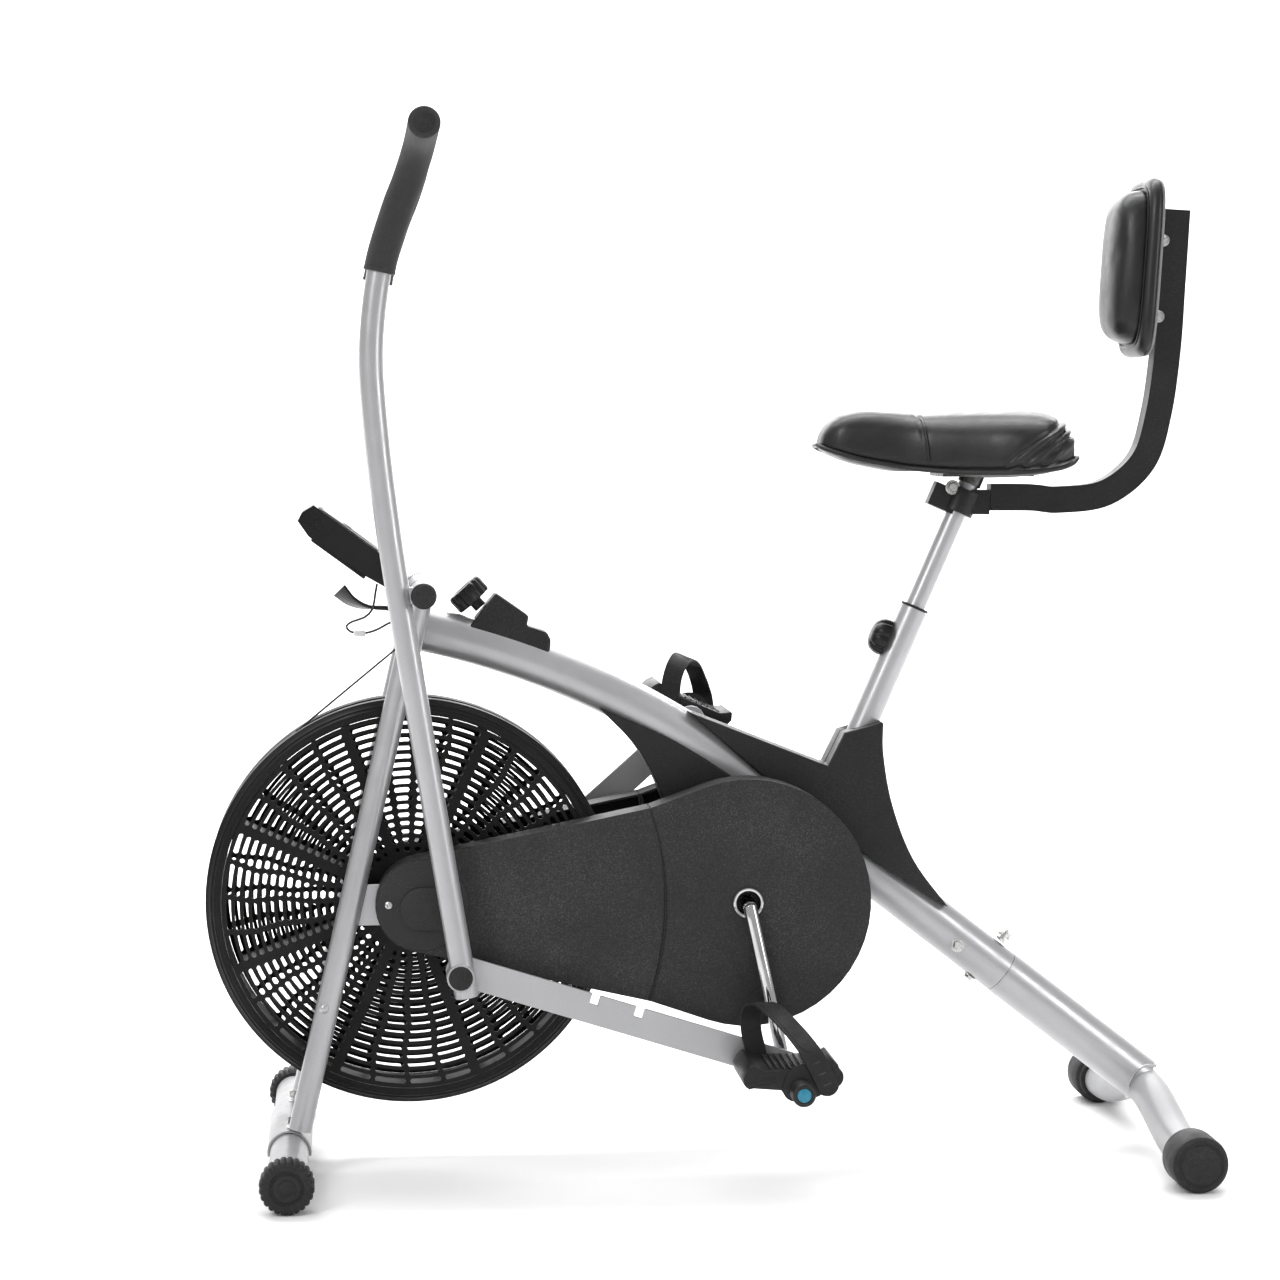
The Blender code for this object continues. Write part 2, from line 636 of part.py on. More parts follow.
def make_lever(side, sign, swing):
    """Handle lever with its pivot sleeve; swing is its angle from the left one."""
    places = [(-0.2603, 0.128, 0.1995), (-0.2915, 0.128, 0.390), (-0.3285, 0.128, 0.620),
              (-0.3400, 0.128, 0.700), (-0.3500, 0.128, 0.787), (-0.3552, 0.128, 0.875),
              (-0.3463, 0.128, 0.956), (-0.3294, 0.129, 1.015), (-0.3159, 0.136, 1.050),
              (-0.3070, 0.154, 1.0765), (-0.3030, 0.185, 1.0920), (-0.3015, 0.248, 1.0995)]
    per_span, grip_place = 2, 6
    path = [Vector((x, y * sign, z)) for x, y, z in smooth_path(places, per_span)]
    path = [turn_about(p, Vector((PIVOT.x, p.y, PIVOT.z)), swing) for p in path]
    grip_path = path[grip_place * per_span:]
    inner_end = path[-2] + (path[-3] - path[-2]).normalized() * 2 * GAP
    lever = tube("lever_" + side, path[:-2] + [inner_end], LEVER_R, SILVER, 4)
    low, high = sorted((sign * (HEAD_HALF + 0.0015), sign * SLEEVE_END))
    sleeve = cylinder("sleeve_" + side, SLEEVE_R, low, high, SILVER, PIVOT)
    gusset = box("gusset_" + side, (0.022, 0.012, 0.018), PIVOT + Vector((-0.013, sign * LEVER_Y, 0)),
                 SILVER)
    foot = turn_about(LEVER_FOOT, PIVOT, swing)
    low, high = sorted((sign * 0.1145, sign * 0.1425))
    boss = cylinder("boss_" + side, 0.0145, low, high, SILVER, foot, steps=20)
    for extra in (sleeve, gusset, boss):
        boolean(lever, extra, "UNION")
    low, high = sorted((sign * 0.05, sign * 0.16))
    bore = cylinder("sleeve_bore_" + side, SHAFT_R + GAP, low, high, SILVER, PIVOT)
    boolean(lever, bore, "DIFFERENCE")
    grip = tube("grip_" + side, grip_path, 0.0165, FOAM, 4)
    before = [path[grip_place * per_span - 1]]
    grip_bore = tube("grip_bore_" + side, before + grip_path[:-1], LEVER_R + GAP, FOAM, 4)
    boolean(grip, grip_bore, "DIFFERENCE")
    profile = [(0, 0.1495), (0.010, 0.1495), (SLEEVE_R, 0.147), (SLEEVE_R, SLEEVE_END + 0.0008),
               (0, SLEEVE_END + 0.0008)]
    cap = turned("pivot_cap_" + side, profile, RUBBER, PIVOT, (0, sign, 0))
    on_axis("lever_axis_" + side, PIVOT, [lever, grip, cap])
    return foot


def make_link_bar(side, sign, pin, foot):
    """Flat bar from the crank pin to the foot of the lever."""
    line = pin - foot
    along, up = line.normalized(), Vector((-line.z, 0, line.x)).normalized()
    ends = []
    for centre, start in ((pin, -90), (foot, 90)):
        base = math.degrees(math.atan2(line.z, line.x))
        ends += arc(xz(centre + up * 0.004), BAR_HALF, base + start, base + start + 180, 9)
    hole = circle(xz(pin), SPINDLE_R + 0.0006, 12)
    bar = plate("link_bar_" + side, [ends, hole], sign * BAR_Y, BAR_T / 2, SILVER)
    for reach in (0.145, 0.194):
        place = foot + along * reach + up * (BAR_HALF + 0.004)
        notch = box(f"notch_{side}_{reach}", (0.009, 0.02, 0.022), place + Vector((0, sign * BAR_Y, 0)),
                    SILVER, math.atan2(-line.z, line.x))
        boolean(bar, notch, "DIFFERENCE")
    on_axis("link_axis_" + side, pin, [bar])
    return bar


def make_strap(name, sign, pin, rise):
    """A flat band over the pedal, from its inner side at the front to its outer side at the rear."""
    loop = [(-0.0305, 0.1225, 0.004), (-0.0350, 0.1225, 0.024), (-0.0395, 0.1226, 0.044),
            (-0.0405, 0.1265, 0.062), (-0.0375, 0.1380, 0.0745), (-0.0310, 0.1530, 0.0790),
            (-0.0210, 0.1690, 0.0745), (-0.0100, 0.1860, 0.0640), (0.0010, 0.2035, 0.0520),
            (0.0110, 0.2170, 0.0380), (0.0205, 0.2205, 0.0200), (0.0285, 0.2205, 0.0030),
            (0.0320, 0.2205, -0.0050)]
    path = smooth_path([(x, y * sign, z * rise) for x, y, z in loop], 2)
    half_wide, half_thick = 0.011, 0.0012
    rings = []
    for i, place in enumerate(path):
        along = (path[min(i + 1, len(path) - 1)] - path[max(i - 1, 0)]).normalized()
        out = Vector((0, -along.z, along.y)).normalized() * sign
        wide = along.cross(out).normalized() * (half_wide if i < len(path) - 1 else half_wide * 0.55)
        thick = wide.cross(along).normalized() * half_thick
        rings.append([pin + place + wide * a + thick * b
                      for a, b in ((-1, -1), (1, -1), (1, 1), (-1, 1))])
    return loft(name, rings, RUBBER)


def make_pedal(side, sign, pin, tilt, rise):
    """Platform over a barrel on the spindle, with a toe strap looped over it."""
    body = [(-0.058, 0.003), (-0.060, 0.013), (-0.051, 0.026), (-0.036, 0.021), (0.026, 0.021),
            (0.038, 0.027), (0.042, 0.018), (0.034, 0.004), (0.0, -0.002)]
    outline = [(pin.x + x, pin.z + z) for x, z in body]
    pedal = plate("pedal_" + side, [outline], sign * 0.171, 0.046, PLASTIC)
    low, high = sorted((sign * 0.1165, sign * 0.246))
    barrel = cylinder("barrel_" + side, 0.0125, low, high, PLASTIC, pin, steps=16)
    low, high = sorted((sign * 0.10, sign * (SPINDLE_END + 0.001)))
    bore = cylinder("pedal_bore_" + side, SPINDLE_R + GAP, low, high, PLASTIC, pin, steps=12)
    strap = make_strap("pedal_strap_" + side, sign, pin, rise)
    axis = on_axis("pedal_axis_" + side, pin, [pedal, barrel, bore, strap])
    boolean(pedal, barrel, "UNION")
    boolean(pedal, bore, "DIFFERENCE")
    axis.rotation_euler = (0, tilt, 0)


def make_sides():
    for side, sign in SIDES:
        arm = Vector((math.sin(CRANK_ANGLE), 0, -math.cos(CRANK_ANGLE))) * -sign
        pin = CRANK + arm * CRANK_LENGTH
        target = lever_foot(pin)
        rest = LEVER_FOOT - PIVOT
        goal = target - PIVOT
        swing = math.atan2(goal.x, goal.z) - math.atan2(rest.x, rest.z)
        foot = make_lever(side, sign, swing)
        make_link_bar(side, sign, pin, foot)
        make_pedal(side, sign, pin, PEDAL_TILT[side], STRAP_RISE[side])


make_sides()


# ---- Seat, backrest ------------------------------------------------------------------
def saddle_rings():
    """Cross sections of the saddle from nose to tail: x, half width, bottom, top."""
    sections = [(0.126, 0.020, 0.771, 0.779), (0.148, 0.040, 0.762, 0.804),
                (0.190, 0.050, 0.752, 0.808), (0.236, 0.064, 0.745, 0.804),
                (0.285, 0.098, 0.742, 0.807), (0.335, 0.122, 0.743, 0.8085),
                (0.375, 0.118, 0.748, 0.806), (0.397, 0.090, 0.756, 0.782)]
    rings = []
    for x, half, low, high in sections:
        tall = high - low
        right = [(0.62, 0.0), (1.0, 0.18), (0.96, 0.62), (0.62, 0.97)]
        loop = [(x, half * w, low + tall * h) for w, h in right]
        loop += [(x, -half * w, low + tall * h) for w, h in right[::-1]]
        rings.append(loop)
    return rings


def backrest_rings():
    """The back pad from its crowned front to its flat back, leaning with the post."""
    middle, lean = Vector((0.494, 0, 0.967)), math.radians(3.8)
    rings = []
    for depth, half_wide, half_tall in ((-0.0480, 0.026, 0.055), (-0.0440, 0.042, 0.072),
                                        (-0.0340, 0.050, 0.082), (-0.0165, 0.054, 0.087),
                                        (-0.0110, 0.0615, 0.0970), (-0.004, 0.062, 0.0985),
                                        (0.0, 0.059, 0.0960)):
        loop = []
        for i in range(16):
            a = 2 * math.pi * i / 16
            y = math.copysign(abs(math.cos(a)) ** 0.45, math.cos(a)) * half_wide
            z = math.copysign(abs(math.sin(a)) ** 0.45, math.sin(a)) * half_tall
            loop.append(middle + Matrix.Rotation(lean, 3, "Y") @ Vector((depth, y, z)))
        rings.append(loop)
    return rings


def make_seat():
    tube_body = ring("seat_tube", SEAT_R, POST_R + 0.0008, -0.14, SEAT_TOP, SILVER, SEAT_FOOT, SEAT_UP)
    boolean(tube_body, main_cutter, "DIFFERENCE")
    below = on_straight(0.15, straight_from) - Vector((0, 0, 0.06))
    boolean(tube_body, box("below_main", (0.14, 0.06, 0.08), below, SILVER, BEND_TO), "DIFFERENCE")
    outer, low, high = SEAT_R + 0.0006, SEAT_TOP + GAP, SEAT_TOP + 0.0030
    profile = [(outer, high), (outer, low), (POST_R + GAP, low), (POST_R + GAP, high)]
    turned("seat_bushing", profile, PLASTIC, SEAT_FOOT, SEAT_UP, closed=True)
    post = seat_cylinder("seat_post", POST_R, SEAT_TOP - POST_IN, POST_TOP)
    pan_size, pan_at = Vector((0.10, 0.08, 0.005)), Vector((0.310, 0, 0.744))
    pan = box("saddle_pan", pan_size, pan_at, STEEL)
    socket_from = POST_TOP - 0.0075
    boolean(pan, seat_cylinder("pan_socket", POST_R + 0.002, socket_from, 0.2985, STEEL), "UNION")
    boolean(pan, seat_cylinder("pan_bore", POST_R + GAP, 0.2, POST_TOP + GAP), "DIFFERENCE")
    pad = loft("saddle_pad", saddle_rings(), VINYL)
    margin = Vector((2 * GAP, 2 * GAP, 0.02))
    room = box("pan_room", pan_size + margin, pan_at - Vector((0, 0, 0.01 - GAP)), VINYL)
    boolean(pad, room, "DIFFERENCE")
    boolean(pad, seat_cylinder("socket_room", POST_R + 0.0045, 0.27, 0.302), "DIFFERENCE")
    clamp = ring("backrest_clamp", 0.0175, POST_R + GAP, 0.2500, 0.2765, BLACK_PAINT, SEAT_FOOT, SEAT_UP)
    at = SEAT_FOOT + SEAT_UP * 0.2632
    ear = box("clamp_ear", (0.030, 0.020, 0.026), at + Vector((-0.020, 0, 0.004)), BLACK_PAINT,
              SEAT_LEAN)
    socket = box("clamp_socket", (0.020, 0.025, 0.0265), at + Vector((0.019, 0, -0.001)), BLACK_PAINT)
    boolean(clamp, ear, "UNION")
    boolean(clamp, socket, "UNION")
    boolean(clamp, seat_cylinder("clamp_bore", POST_R + GAP, 0.2, 0.32), "DIFFERENCE")
    start = at.x + 0.0295
    path = smooth_path([(start, 0.7185), (start + 0.045, 0.7180), (0.394, 0.7155), (0.446, 0.7230),
                        (0.487, 0.7570), (0.5040, 0.8100), (0.5135, 0.8800), (0.5180, 0.9500),
                        (0.5228, 1.0310)], 2)
    bar = plate("backrest_post", [ribbon(path, 0.0145)], 0, 0.0125, BLACK_PAINT)
    for x, z in ((0.5038, 0.9975), (0.4985, 0.9150)):
        boolean(bar, box(f"tab_{z}", (0.0130, 0.018, 0.022), Vector((x, 0, z)), BLACK_PAINT), "UNION")
    back = loft("backrest_pad", backrest_rings(), VINYL)
    knob_axis = Vector((-math.cos(SEAT_LEAN), 0, math.sin(SEAT_LEAN)))
    knob_at = SEAT_FOOT + SEAT_UP * 0.0932
    low = SEAT_R + 0.0006
    profile = [(0, 0.0335), (0.0110, 0.0328), (0.0165, 0.0298), (0.0195, 0.0250), (0.0205, 0.0195),
               (0.0205, low), (0, low)]
    knob = turned("seat_knob", profile, PLASTIC, knob_at, knob_axis)
    on_axis("seat_slide", SEAT_FOOT, [post, pan, pad, clamp, bar, back])
    on_axis("seat_knob_axis", knob_at, [knob])


make_seat()


# ---- Tension control, console and cables ---------------------------------------------
def make_tension():
    outline = [(-0.2515, 0.565), (-0.2510, 0.5828), (-0.2227, 0.6183), (-0.1871, 0.5931),
               (-0.1893, 0.5823), (-0.1677, 0.5756), (-0.1634, 0.5669), (-0.1670, 0.540)]
    housing = plate("tension_housing", [outline], 0, 0.0195, PLASTIC)
    boolean(housing, main_cutter, "DIFFERENCE")
    base = Vector((-0.2369, 0, 0.6006))
    axis = Vector((-0.672, 0, 0.740)).normalized()
    profile = [(0, 0.0310), (0.0175, 0.0310), (0.0205, 0.0280), (0.0205, 0.0115), (0.007, 0.0105),
               (0.007, 0.0022), (0, 0.0022)]
    knob = turned("tension_knob", profile, PLASTIC, base, axis)
    room = cylinder("knob_room", 0.0078, 0.0, 0.02, PLASTIC, base, axis)
    boolean(housing, room, "DIFFERENCE")
    on_axis("tension_axis", base, [knob])


def make_console():
    outline = [(-0.4166, 0.7144), (-0.4290, 0.7070), (-0.4338, 0.6978), (-0.4222, 0.6811),
               (-0.3626, 0.6388), (-0.3412, 0.6267), (-0.3200, 0.6230), (-0.3200, 0.6300),
               (-0.3400, 0.6420), (-0.3474, 0.6634)]
    case = plate("console_case", [outline], 0, 0.050, PLASTIC)
    face = Vector((0.051, 0, 0.0692)).normalized()
    base = Vector((-0.382, 0, 0.6889))
    pocket = cylinder("button_pocket", 0.0068, -0.004, 0.01, PLASTIC, base, face, 16)
    boolean(case, pocket, "DIFFERENCE")
    button = cylinder("console_button", 0.0062, -0.0018, 0.0018, RUBBER, base, face, 16)
    on_axis("button_axis", base, [button])
    strip = [(-0.3905, 0.6215), (-0.3780, 0.6100), (-0.3620, 0.6035), (-0.3420, 0.6020),
             (-0.3170, 0.5990)]
    path = [tuple(p) for p in smooth_path(strip, 2)]
    plate("console_bracket", [ribbon(path, 0.0022)], 0, 0.013, BLACK_PAINT)


def make_cables():
    tube("brake_cable", [(-0.3260, 0, 0.5610), (-0.4352, 0, 0.4714)], 0.0012, CORD, 2)
    route = [(-0.3500, -0.018, 0.6290), (-0.3520, -0.018, 0.6180), (-0.3550, -0.0185, 0.6020),
             (-0.3640, -0.0190, 0.5930), (-0.3760, -0.0190, 0.5890), (-0.3830, -0.0190, 0.5840),
             (-0.3790, -0.0190, 0.5780), (-0.3690, -0.0190, 0.5760), (-0.3590, -0.0190, 0.5770),
             (-0.3480, -0.0190, 0.5810), (-0.3350, -0.0190, 0.5880), (-0.3200, -0.0190, 0.5900),
             (-0.3080, -0.0190, 0.5890)]
    tube("console_wire", smooth_path(route, 2), 0.0013, CORD, 2)


make_tension()
make_console()
make_cables()
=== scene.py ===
"""Air bike: the looks of an upright fan bike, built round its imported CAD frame.

Metres, +Z up.  +X points to the rear of the bike, -Y is the rider's left side.
"""

import json
from math import atan2, copysign, cos, degrees, exp, pi, radians, sin, sqrt, tan

import bmesh
import bpy
from mathutils import Matrix, Vector

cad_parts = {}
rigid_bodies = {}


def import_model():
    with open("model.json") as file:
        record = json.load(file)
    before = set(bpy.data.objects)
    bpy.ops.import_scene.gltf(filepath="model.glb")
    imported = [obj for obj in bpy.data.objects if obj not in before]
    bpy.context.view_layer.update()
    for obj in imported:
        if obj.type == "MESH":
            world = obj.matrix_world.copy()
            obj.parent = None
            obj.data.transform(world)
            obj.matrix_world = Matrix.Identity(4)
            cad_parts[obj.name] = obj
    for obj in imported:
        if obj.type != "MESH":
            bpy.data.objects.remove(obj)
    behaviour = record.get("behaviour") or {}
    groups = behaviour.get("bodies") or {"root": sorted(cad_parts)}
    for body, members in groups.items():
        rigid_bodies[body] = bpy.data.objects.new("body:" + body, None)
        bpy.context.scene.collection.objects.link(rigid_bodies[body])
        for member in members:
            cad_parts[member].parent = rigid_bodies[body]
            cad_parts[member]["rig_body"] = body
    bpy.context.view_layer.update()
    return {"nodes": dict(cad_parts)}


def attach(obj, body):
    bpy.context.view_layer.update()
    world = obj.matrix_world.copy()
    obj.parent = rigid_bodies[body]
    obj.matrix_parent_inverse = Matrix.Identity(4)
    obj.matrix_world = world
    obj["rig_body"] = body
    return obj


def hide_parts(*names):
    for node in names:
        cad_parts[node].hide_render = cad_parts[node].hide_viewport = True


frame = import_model()
NODES = frame["nodes"]
SIDES = (("left", -1), ("right", 1))

FAN = Vector((-0.317, 0.0, 0.288))
CRANK = Vector((0.0425, 0.0, 0.288))
CRANK_ANGLE = radians(12.2)
CRANK_ARM = Vector((sin(CRANK_ANGLE), 0.0, -cos(CRANK_ANGLE))) * 0.18
PINS = {"left": CRANK + CRANK_ARM, "right": CRANK - CRANK_ARM}
PIVOT = Vector((-0.303, 0.0, 0.622))
FRONT = Vector((-0.448, 0.0, 0.0285))
SEAT_FOOT = Vector((0.1815, 0.0, 0.4733))
SEAT_LEAN = radians(23.8)
SEAT_UP = Vector((sin(SEAT_LEAN), 0.0, cos(SEAT_LEAN)))
SLOPE = radians(38)  # fall of the straight part of the main tube
REAR_X = 0.4955  # middle of the rear floor tube
Y, Z = Vector((0, 1, 0)), Vector((0, 0, 1))


def placed(name, data):
    """A new object in the scene."""
    obj = bpy.data.objects.new(name, data)
    bpy.context.scene.collection.objects.link(obj)
    return obj


def evaluated(obj):
    """The object's mesh with its modifiers applied."""
    graph = bpy.context.evaluated_depsgraph_get()
    return bpy.data.meshes.new_from_object(obj.evaluated_get(graph))


def applied(obj):
    """Keeps what an object's modifiers make of it."""
    mesh = evaluated(obj)
    obj.modifiers.clear()
    obj.data = mesh
    return obj


# ---- Camera -------------------------------------------------------------------------
def make_camera():
    data = bpy.data.cameras.new("camera")
    data.lens, data.sensor_width = 90.2, 36.0
    data.clip_end = 60.0
    camera = placed("camera", data)
    yaw, pitch, roll = (radians(a) for a in (5.19, 3.919, 0.139))
    turn = (Matrix.Rotation(-yaw, 4, "Z") @ Matrix.Rotation(pi / 2 - pitch, 4, "X")
            @ Matrix.Rotation(-roll, 4, "Z"))
    camera.matrix_world = Matrix.Translation((-0.38, -3.4636, 0.8032)) @ turn
    bpy.context.scene.camera = camera


# ---- Materials ----------------------------------------------------------------------
class Shader:
    """A Principled material with short calls for the nodes that give it its detail."""

    def __init__(self, name, roughness, metallic=0.0, **sockets):
        self.mat = bpy.data.materials.new(name)
        self.mat.use_nodes = True
        self.tree = self.mat.node_tree
        self.out = self.tree.nodes["Principled BSDF"]
        self.out.inputs["Roughness"].default_value = roughness
        self.out.inputs["Metallic"].default_value = metallic
        for socket, value in sockets.items():
            self.out.inputs[socket.replace("_", " ")].default_value = value
        self.place = self.tree.nodes.new("ShaderNodeTexCoord").outputs["Object"]

    def node(self, kind, **settings):
        made = self.tree.nodes.new("ShaderNode" + kind)
        for key, value in settings.items():
            setattr(made, key, value)
        return made

    def link(self, source, target):
        self.tree.links.new(source, target)

    def stretched(self, scale):
        mapping = self.node("Mapping")
        mapping.inputs["Scale"].default_value = scale
        self.link(self.place, mapping.inputs["Vector"])
        return mapping.outputs["Vector"]

    def noise(self, scale, detail=3.0, where=None):
        made = self.node("TexNoise")
        made.inputs["Scale"].default_value = scale
        made.inputs["Detail"].default_value = detail
        self.link(where or self.place, made.inputs["Vector"])
        return made.outputs["Fac"]

    def cells(self, scale, feature="F1", where=None):
        made = self.node("TexVoronoi", feature=feature)
        made.inputs["Scale"].default_value = scale
        self.link(where or self.place, made.inputs["Vector"])
        return made.outputs["Distance"]

    def wave(self, scale, direction, distortion=0.0, where=None):
        made = self.node("TexWave", bands_direction=direction)
        made.inputs["Scale"].default_value = scale
        made.inputs["Distortion"].default_value = distortion
        self.link(where or self.place, made.inputs["Vector"])
        return made.outputs["Fac"]

    def map_range(self, value, low, high, to_low, to_high):
        made = self.node("MapRange")
        for socket, number in zip(made.inputs[1:5], (low, high, to_low, to_high)):
            socket.default_value = number
        self.link(value, made.inputs[0])
        return made.outputs[0]

    def combine(self, operation, a, b):
        made = self.node("Math", operation=operation)
        for socket, value in zip(made.inputs, (a, b)):
            if isinstance(value, (int, float)):
                socket.default_value = value
            else:
                self.link(value, socket)
        return made.outputs[0]

    def colour(self, *stops, by=None):
        """Base colour from a ramp of (place, colour) stops along a texture."""
        ramp = self.node("ValToRGB")
        self.link(by, ramp.inputs["Fac"])
        elements = ramp.color_ramp.elements
        while len(elements) < len(stops):
            elements.new(0.5)
        for element, (place, rgb) in zip(elements, stops):
            element.position = place
            element.color = (*rgb, 1.0)
        self.link(ramp.outputs["Color"], self.out.inputs["Base Color"])

    def rough(self, texture, low, high, frm=0.3, to=0.7):
        self.link(self.map_range(texture, frm, to, low, high), self.out.inputs["Roughness"])

    def bump(self, *layers):
        """Bump layers as (height, strength, distance in metres)."""
        normal = None
        for height, strength, distance in layers:
            made = self.node("Bump")
            made.inputs["Strength"].default_value = strength
            made.inputs["Distance"].default_value = distance
            self.link(height, made.inputs["Height"])
            if normal is not None:
                self.link(normal, made.inputs["Normal"])
            normal = made.outputs["Normal"]
        self.link(normal, self.out.inputs["Normal"])


def grey(value, tint=0.0):
    return (value, value, value * (1 + tint))


def silver_paint(name, tone, metallic, coat, specular):
    """Satin silver powder coat with fine flakes and orange peel."""
    s = Shader(name, 0.34, metallic, Coat_Weight=coat, Coat_Roughness=0.2, Specular_IOR_Level=specular)
    flakes, cloud = s.noise(2600, 2), s.noise(5, 3)
    mix = s.combine("ADD", s.combine("MULTIPLY", flakes, 0.55), s.combine("MULTIPLY", cloud, 0.45))
    s.colour((0.25, grey(0.29 * tone, 0.03)), (0.5, grey(0.36 * tone, 0.025)),
             (0.75, grey(0.45 * tone, 0.02)), by=mix)
    s.rough(s.noise(60, 4), 0.29, 0.4)
    s.bump((s.noise(520, 2), 0.05, 0.0004), (s.noise(2600, 1), 0.04, 0.0001))
    return s.mat


def grained_plastic(name, dark, light, rough, grain=1500, strength=0.35, specular=0.32):
    """Moulded plastic with a spark-eroded grain and pale flecks where it catches light."""
    s = Shader(name, rough, Specular_IOR_Level=specular)
    fine, cloud = s.noise(grain, 3), s.noise(9, 4)
    mix = s.combine("ADD", s.combine("MULTIPLY", fine, 0.7), s.combine("MULTIPLY", cloud, 0.3))
    s.colour((0.36, grey(dark)), (0.56, grey(light)), (0.66, grey(light * 2.6)), by=mix)
    s.rough(s.noise(30, 4), rough - 0.06, rough + 0.08)
    s.bump((fine, strength, 0.0005), (s.cells(grain * 0.6), strength * 0.4, 0.0003))
    return s.mat


def rubber():
    s = Shader("moulded_rubber", 0.62, Specular_IOR_Level=0.32)
    dust = s.combine("MULTIPLY", s.noise(14, 6), s.noise(420, 2))
    s.colour((0.12, grey(0.009)), (0.3, grey(0.015)), (0.5, grey(0.032)), by=dust)
    s.rough(s.noise(50, 4), 0.5, 0.72)
    s.bump((s.noise(900, 3), 0.22, 0.0003))
    return s.mat


def vinyl():
    """Synthetic leather: irregular pebbles with fine creases, soft gloss."""
    s = Shader("black_vinyl", 0.4, Specular_IOR_Level=0.4, Coat_Weight=0.08, Coat_Roughness=0.28)
    pebbles, creases = s.cells(1150, "SMOOTH_F1"), s.cells(900, "DISTANCE_TO_EDGE")
    s.colour((0.2, grey(0.004)), (0.55, grey(0.007, 0.06)), (0.9, grey(0.012, 0.08)), by=s.noise(22, 5))
    s.rough(s.noise(55, 4), 0.33, 0.46)
    s.bump((pebbles, 0.22, 0.0005), (creases, 0.25, 0.0003), (s.noise(160, 3), 0.1, 0.0006))
    return s.mat


def foam():
    """Closed-cell grip foam: matt, with open pores."""
    s = Shader("grip_foam", 0.86, Specular_IOR_Level=0.3, Sheen_Weight=0.12, Sheen_Roughness=0.6)
    pores = s.cells(1300)
    s.colour((0.05, grey(0.008)), (0.35, grey(0.02)), (0.8, grey(0.032)), by=pores)
    s.bump((pores, 0.55, 0.0006), (s.noise(240, 3), 0.25, 0.0008))
    return s.mat


def zinc():
    """Zinc-plated fasteners: brushed, slightly clouded."""
    s = Shader("zinc_plate", 0.28, 1.0)
    s.colour((0.3, (0.46, 0.46, 0.45)), (0.7, (0.68, 0.68, 0.67)), by=s.noise(160, 5))
    s.rough(s.noise(300, 3, s.stretched((1, 12, 1))), 0.18, 0.42)
    s.bump((s.noise(700, 2, s.stretched((1, 10, 1))), 0.1, 0.0002))
    return s.mat


def woven_belt():
    s = Shader("friction_webbing", 0.9, Specular_IOR_Level=0.2, Sheen_Weight=0.2)
    across, along = s.wave(420, "Y"), s.wave(420, "DIAGONAL")
    weave = s.combine("MULTIPLY", across, along)
    s.colour((0.1, (0.03, 0.028, 0.026)), (0.8, (0.085, 0.078, 0.07)), by=weave)
    s.bump((weave, 0.6, 0.0006), (s.noise(2200, 2), 0.3, 0.0002))
    return s.mat


def clouded(name, rough, metallic, tones, cloud, gloss, relief):
    """A plain surface, clouded a little: tones by cloud, gloss and relief as (noise, values)."""
    s = Shader(name, rough, metallic)
    s.colour((0.3, tones[0]), (0.7, tones[1]), by=s.noise(*cloud))
    s.rough(s.noise(*gloss[0]), *gloss[1])
    s.bump((s.noise(*relief[0]), *relief[1]))
    return s.mat


def tinted(name, low, high, rough):
    """A small plain trim."""
    return clouded(name, rough, 0.0, (low, high), (220, 4), ((300, 3), (rough * 0.8, rough * 1.2)),
                   ((900, 2), (0.08, 0.0002)))


SILVER = silver_paint("silver_powder_coat", 1.14, 0.58, 0.22, 0.5)
# The same silver powder coat, for the floor tubes: its colour is painted darker as shade (tone 0.9 against
# 1.14), and it is less metallic and less glossy.
SHADED_FLOOR_SILVER = silver_paint("silver_powder_coat_painted_shade", 0.9, 0.15, 0.0, 0.15)
COVER = grained_plastic("cover_plastic", 0.01, 0.021, 0.54, 900, 0.6)
DULL = grained_plastic("guard_plastic", 0.005, 0.011, 0.46, 1100, 0.4)
FAN_PLASTIC = grained_plastic("fan_plastic", 0.004, 0.009, 0.46, 1300, 0.22, 0.16)
PEDAL_PLASTIC = grained_plastic("pedal_plastic", 0.005, 0.011, 0.45, 1400, 0.25)
SMOOTH = grained_plastic("smooth_plastic", 0.003, 0.006, 0.3, 2400, 0.06)
BLACK_PAINT = grained_plastic("black_powder_coat", 0.006, 0.011, 0.42, 900, 0.12)
RUBBER = rubber()
VINYL = vinyl()
FOAM = foam()
CHROME = clouded("chrome_plate", 0.08, 1.0, (grey(0.5, 0.01), grey(0.62, 0.02)), (30, 4),
                 ((70, 5), (0.05, 0.15)), ((90, 2), (0.02, 0.0004)))
ZINC = zinc()
STEEL = clouded("oiled_steel", 0.42, 0.9, ((0.05, 0.048, 0.045), (0.17, 0.165, 0.16)), (120, 5),
                ((200, 4), (0.3, 0.55)), ((600, 3), (0.2, 0.0003)))
WEBBING = woven_belt()
CABLE = clouded("cable_jacket", 0.42, 0.0, (grey(0.012), grey(0.024)), (200, 3), ((260, 3), (0.34, 0.5)),
                ((1200, 2), (0.1, 0.0001)))
BLUE = tinted("blue_dot", (0.01, 0.15, 0.24), (0.02, 0.22, 0.33), 0.4)
BOARD = tinted("moulded_board", grey(0.16, 0.06), grey(0.21, 0.06), 0.5)
CLEAR_GREY = tinted("connector_plastic", grey(0.55), grey(0.68), 0.35)
# Near-black gloss: the console's display window, and also painted shade for the toe straps' slots.
GLASS_AND_SLOT_SHADE = tinted("display_window_and_slot_shade", (0.012, 0.014, 0.016), (0.02, 0.023, 0.026), 0.08)


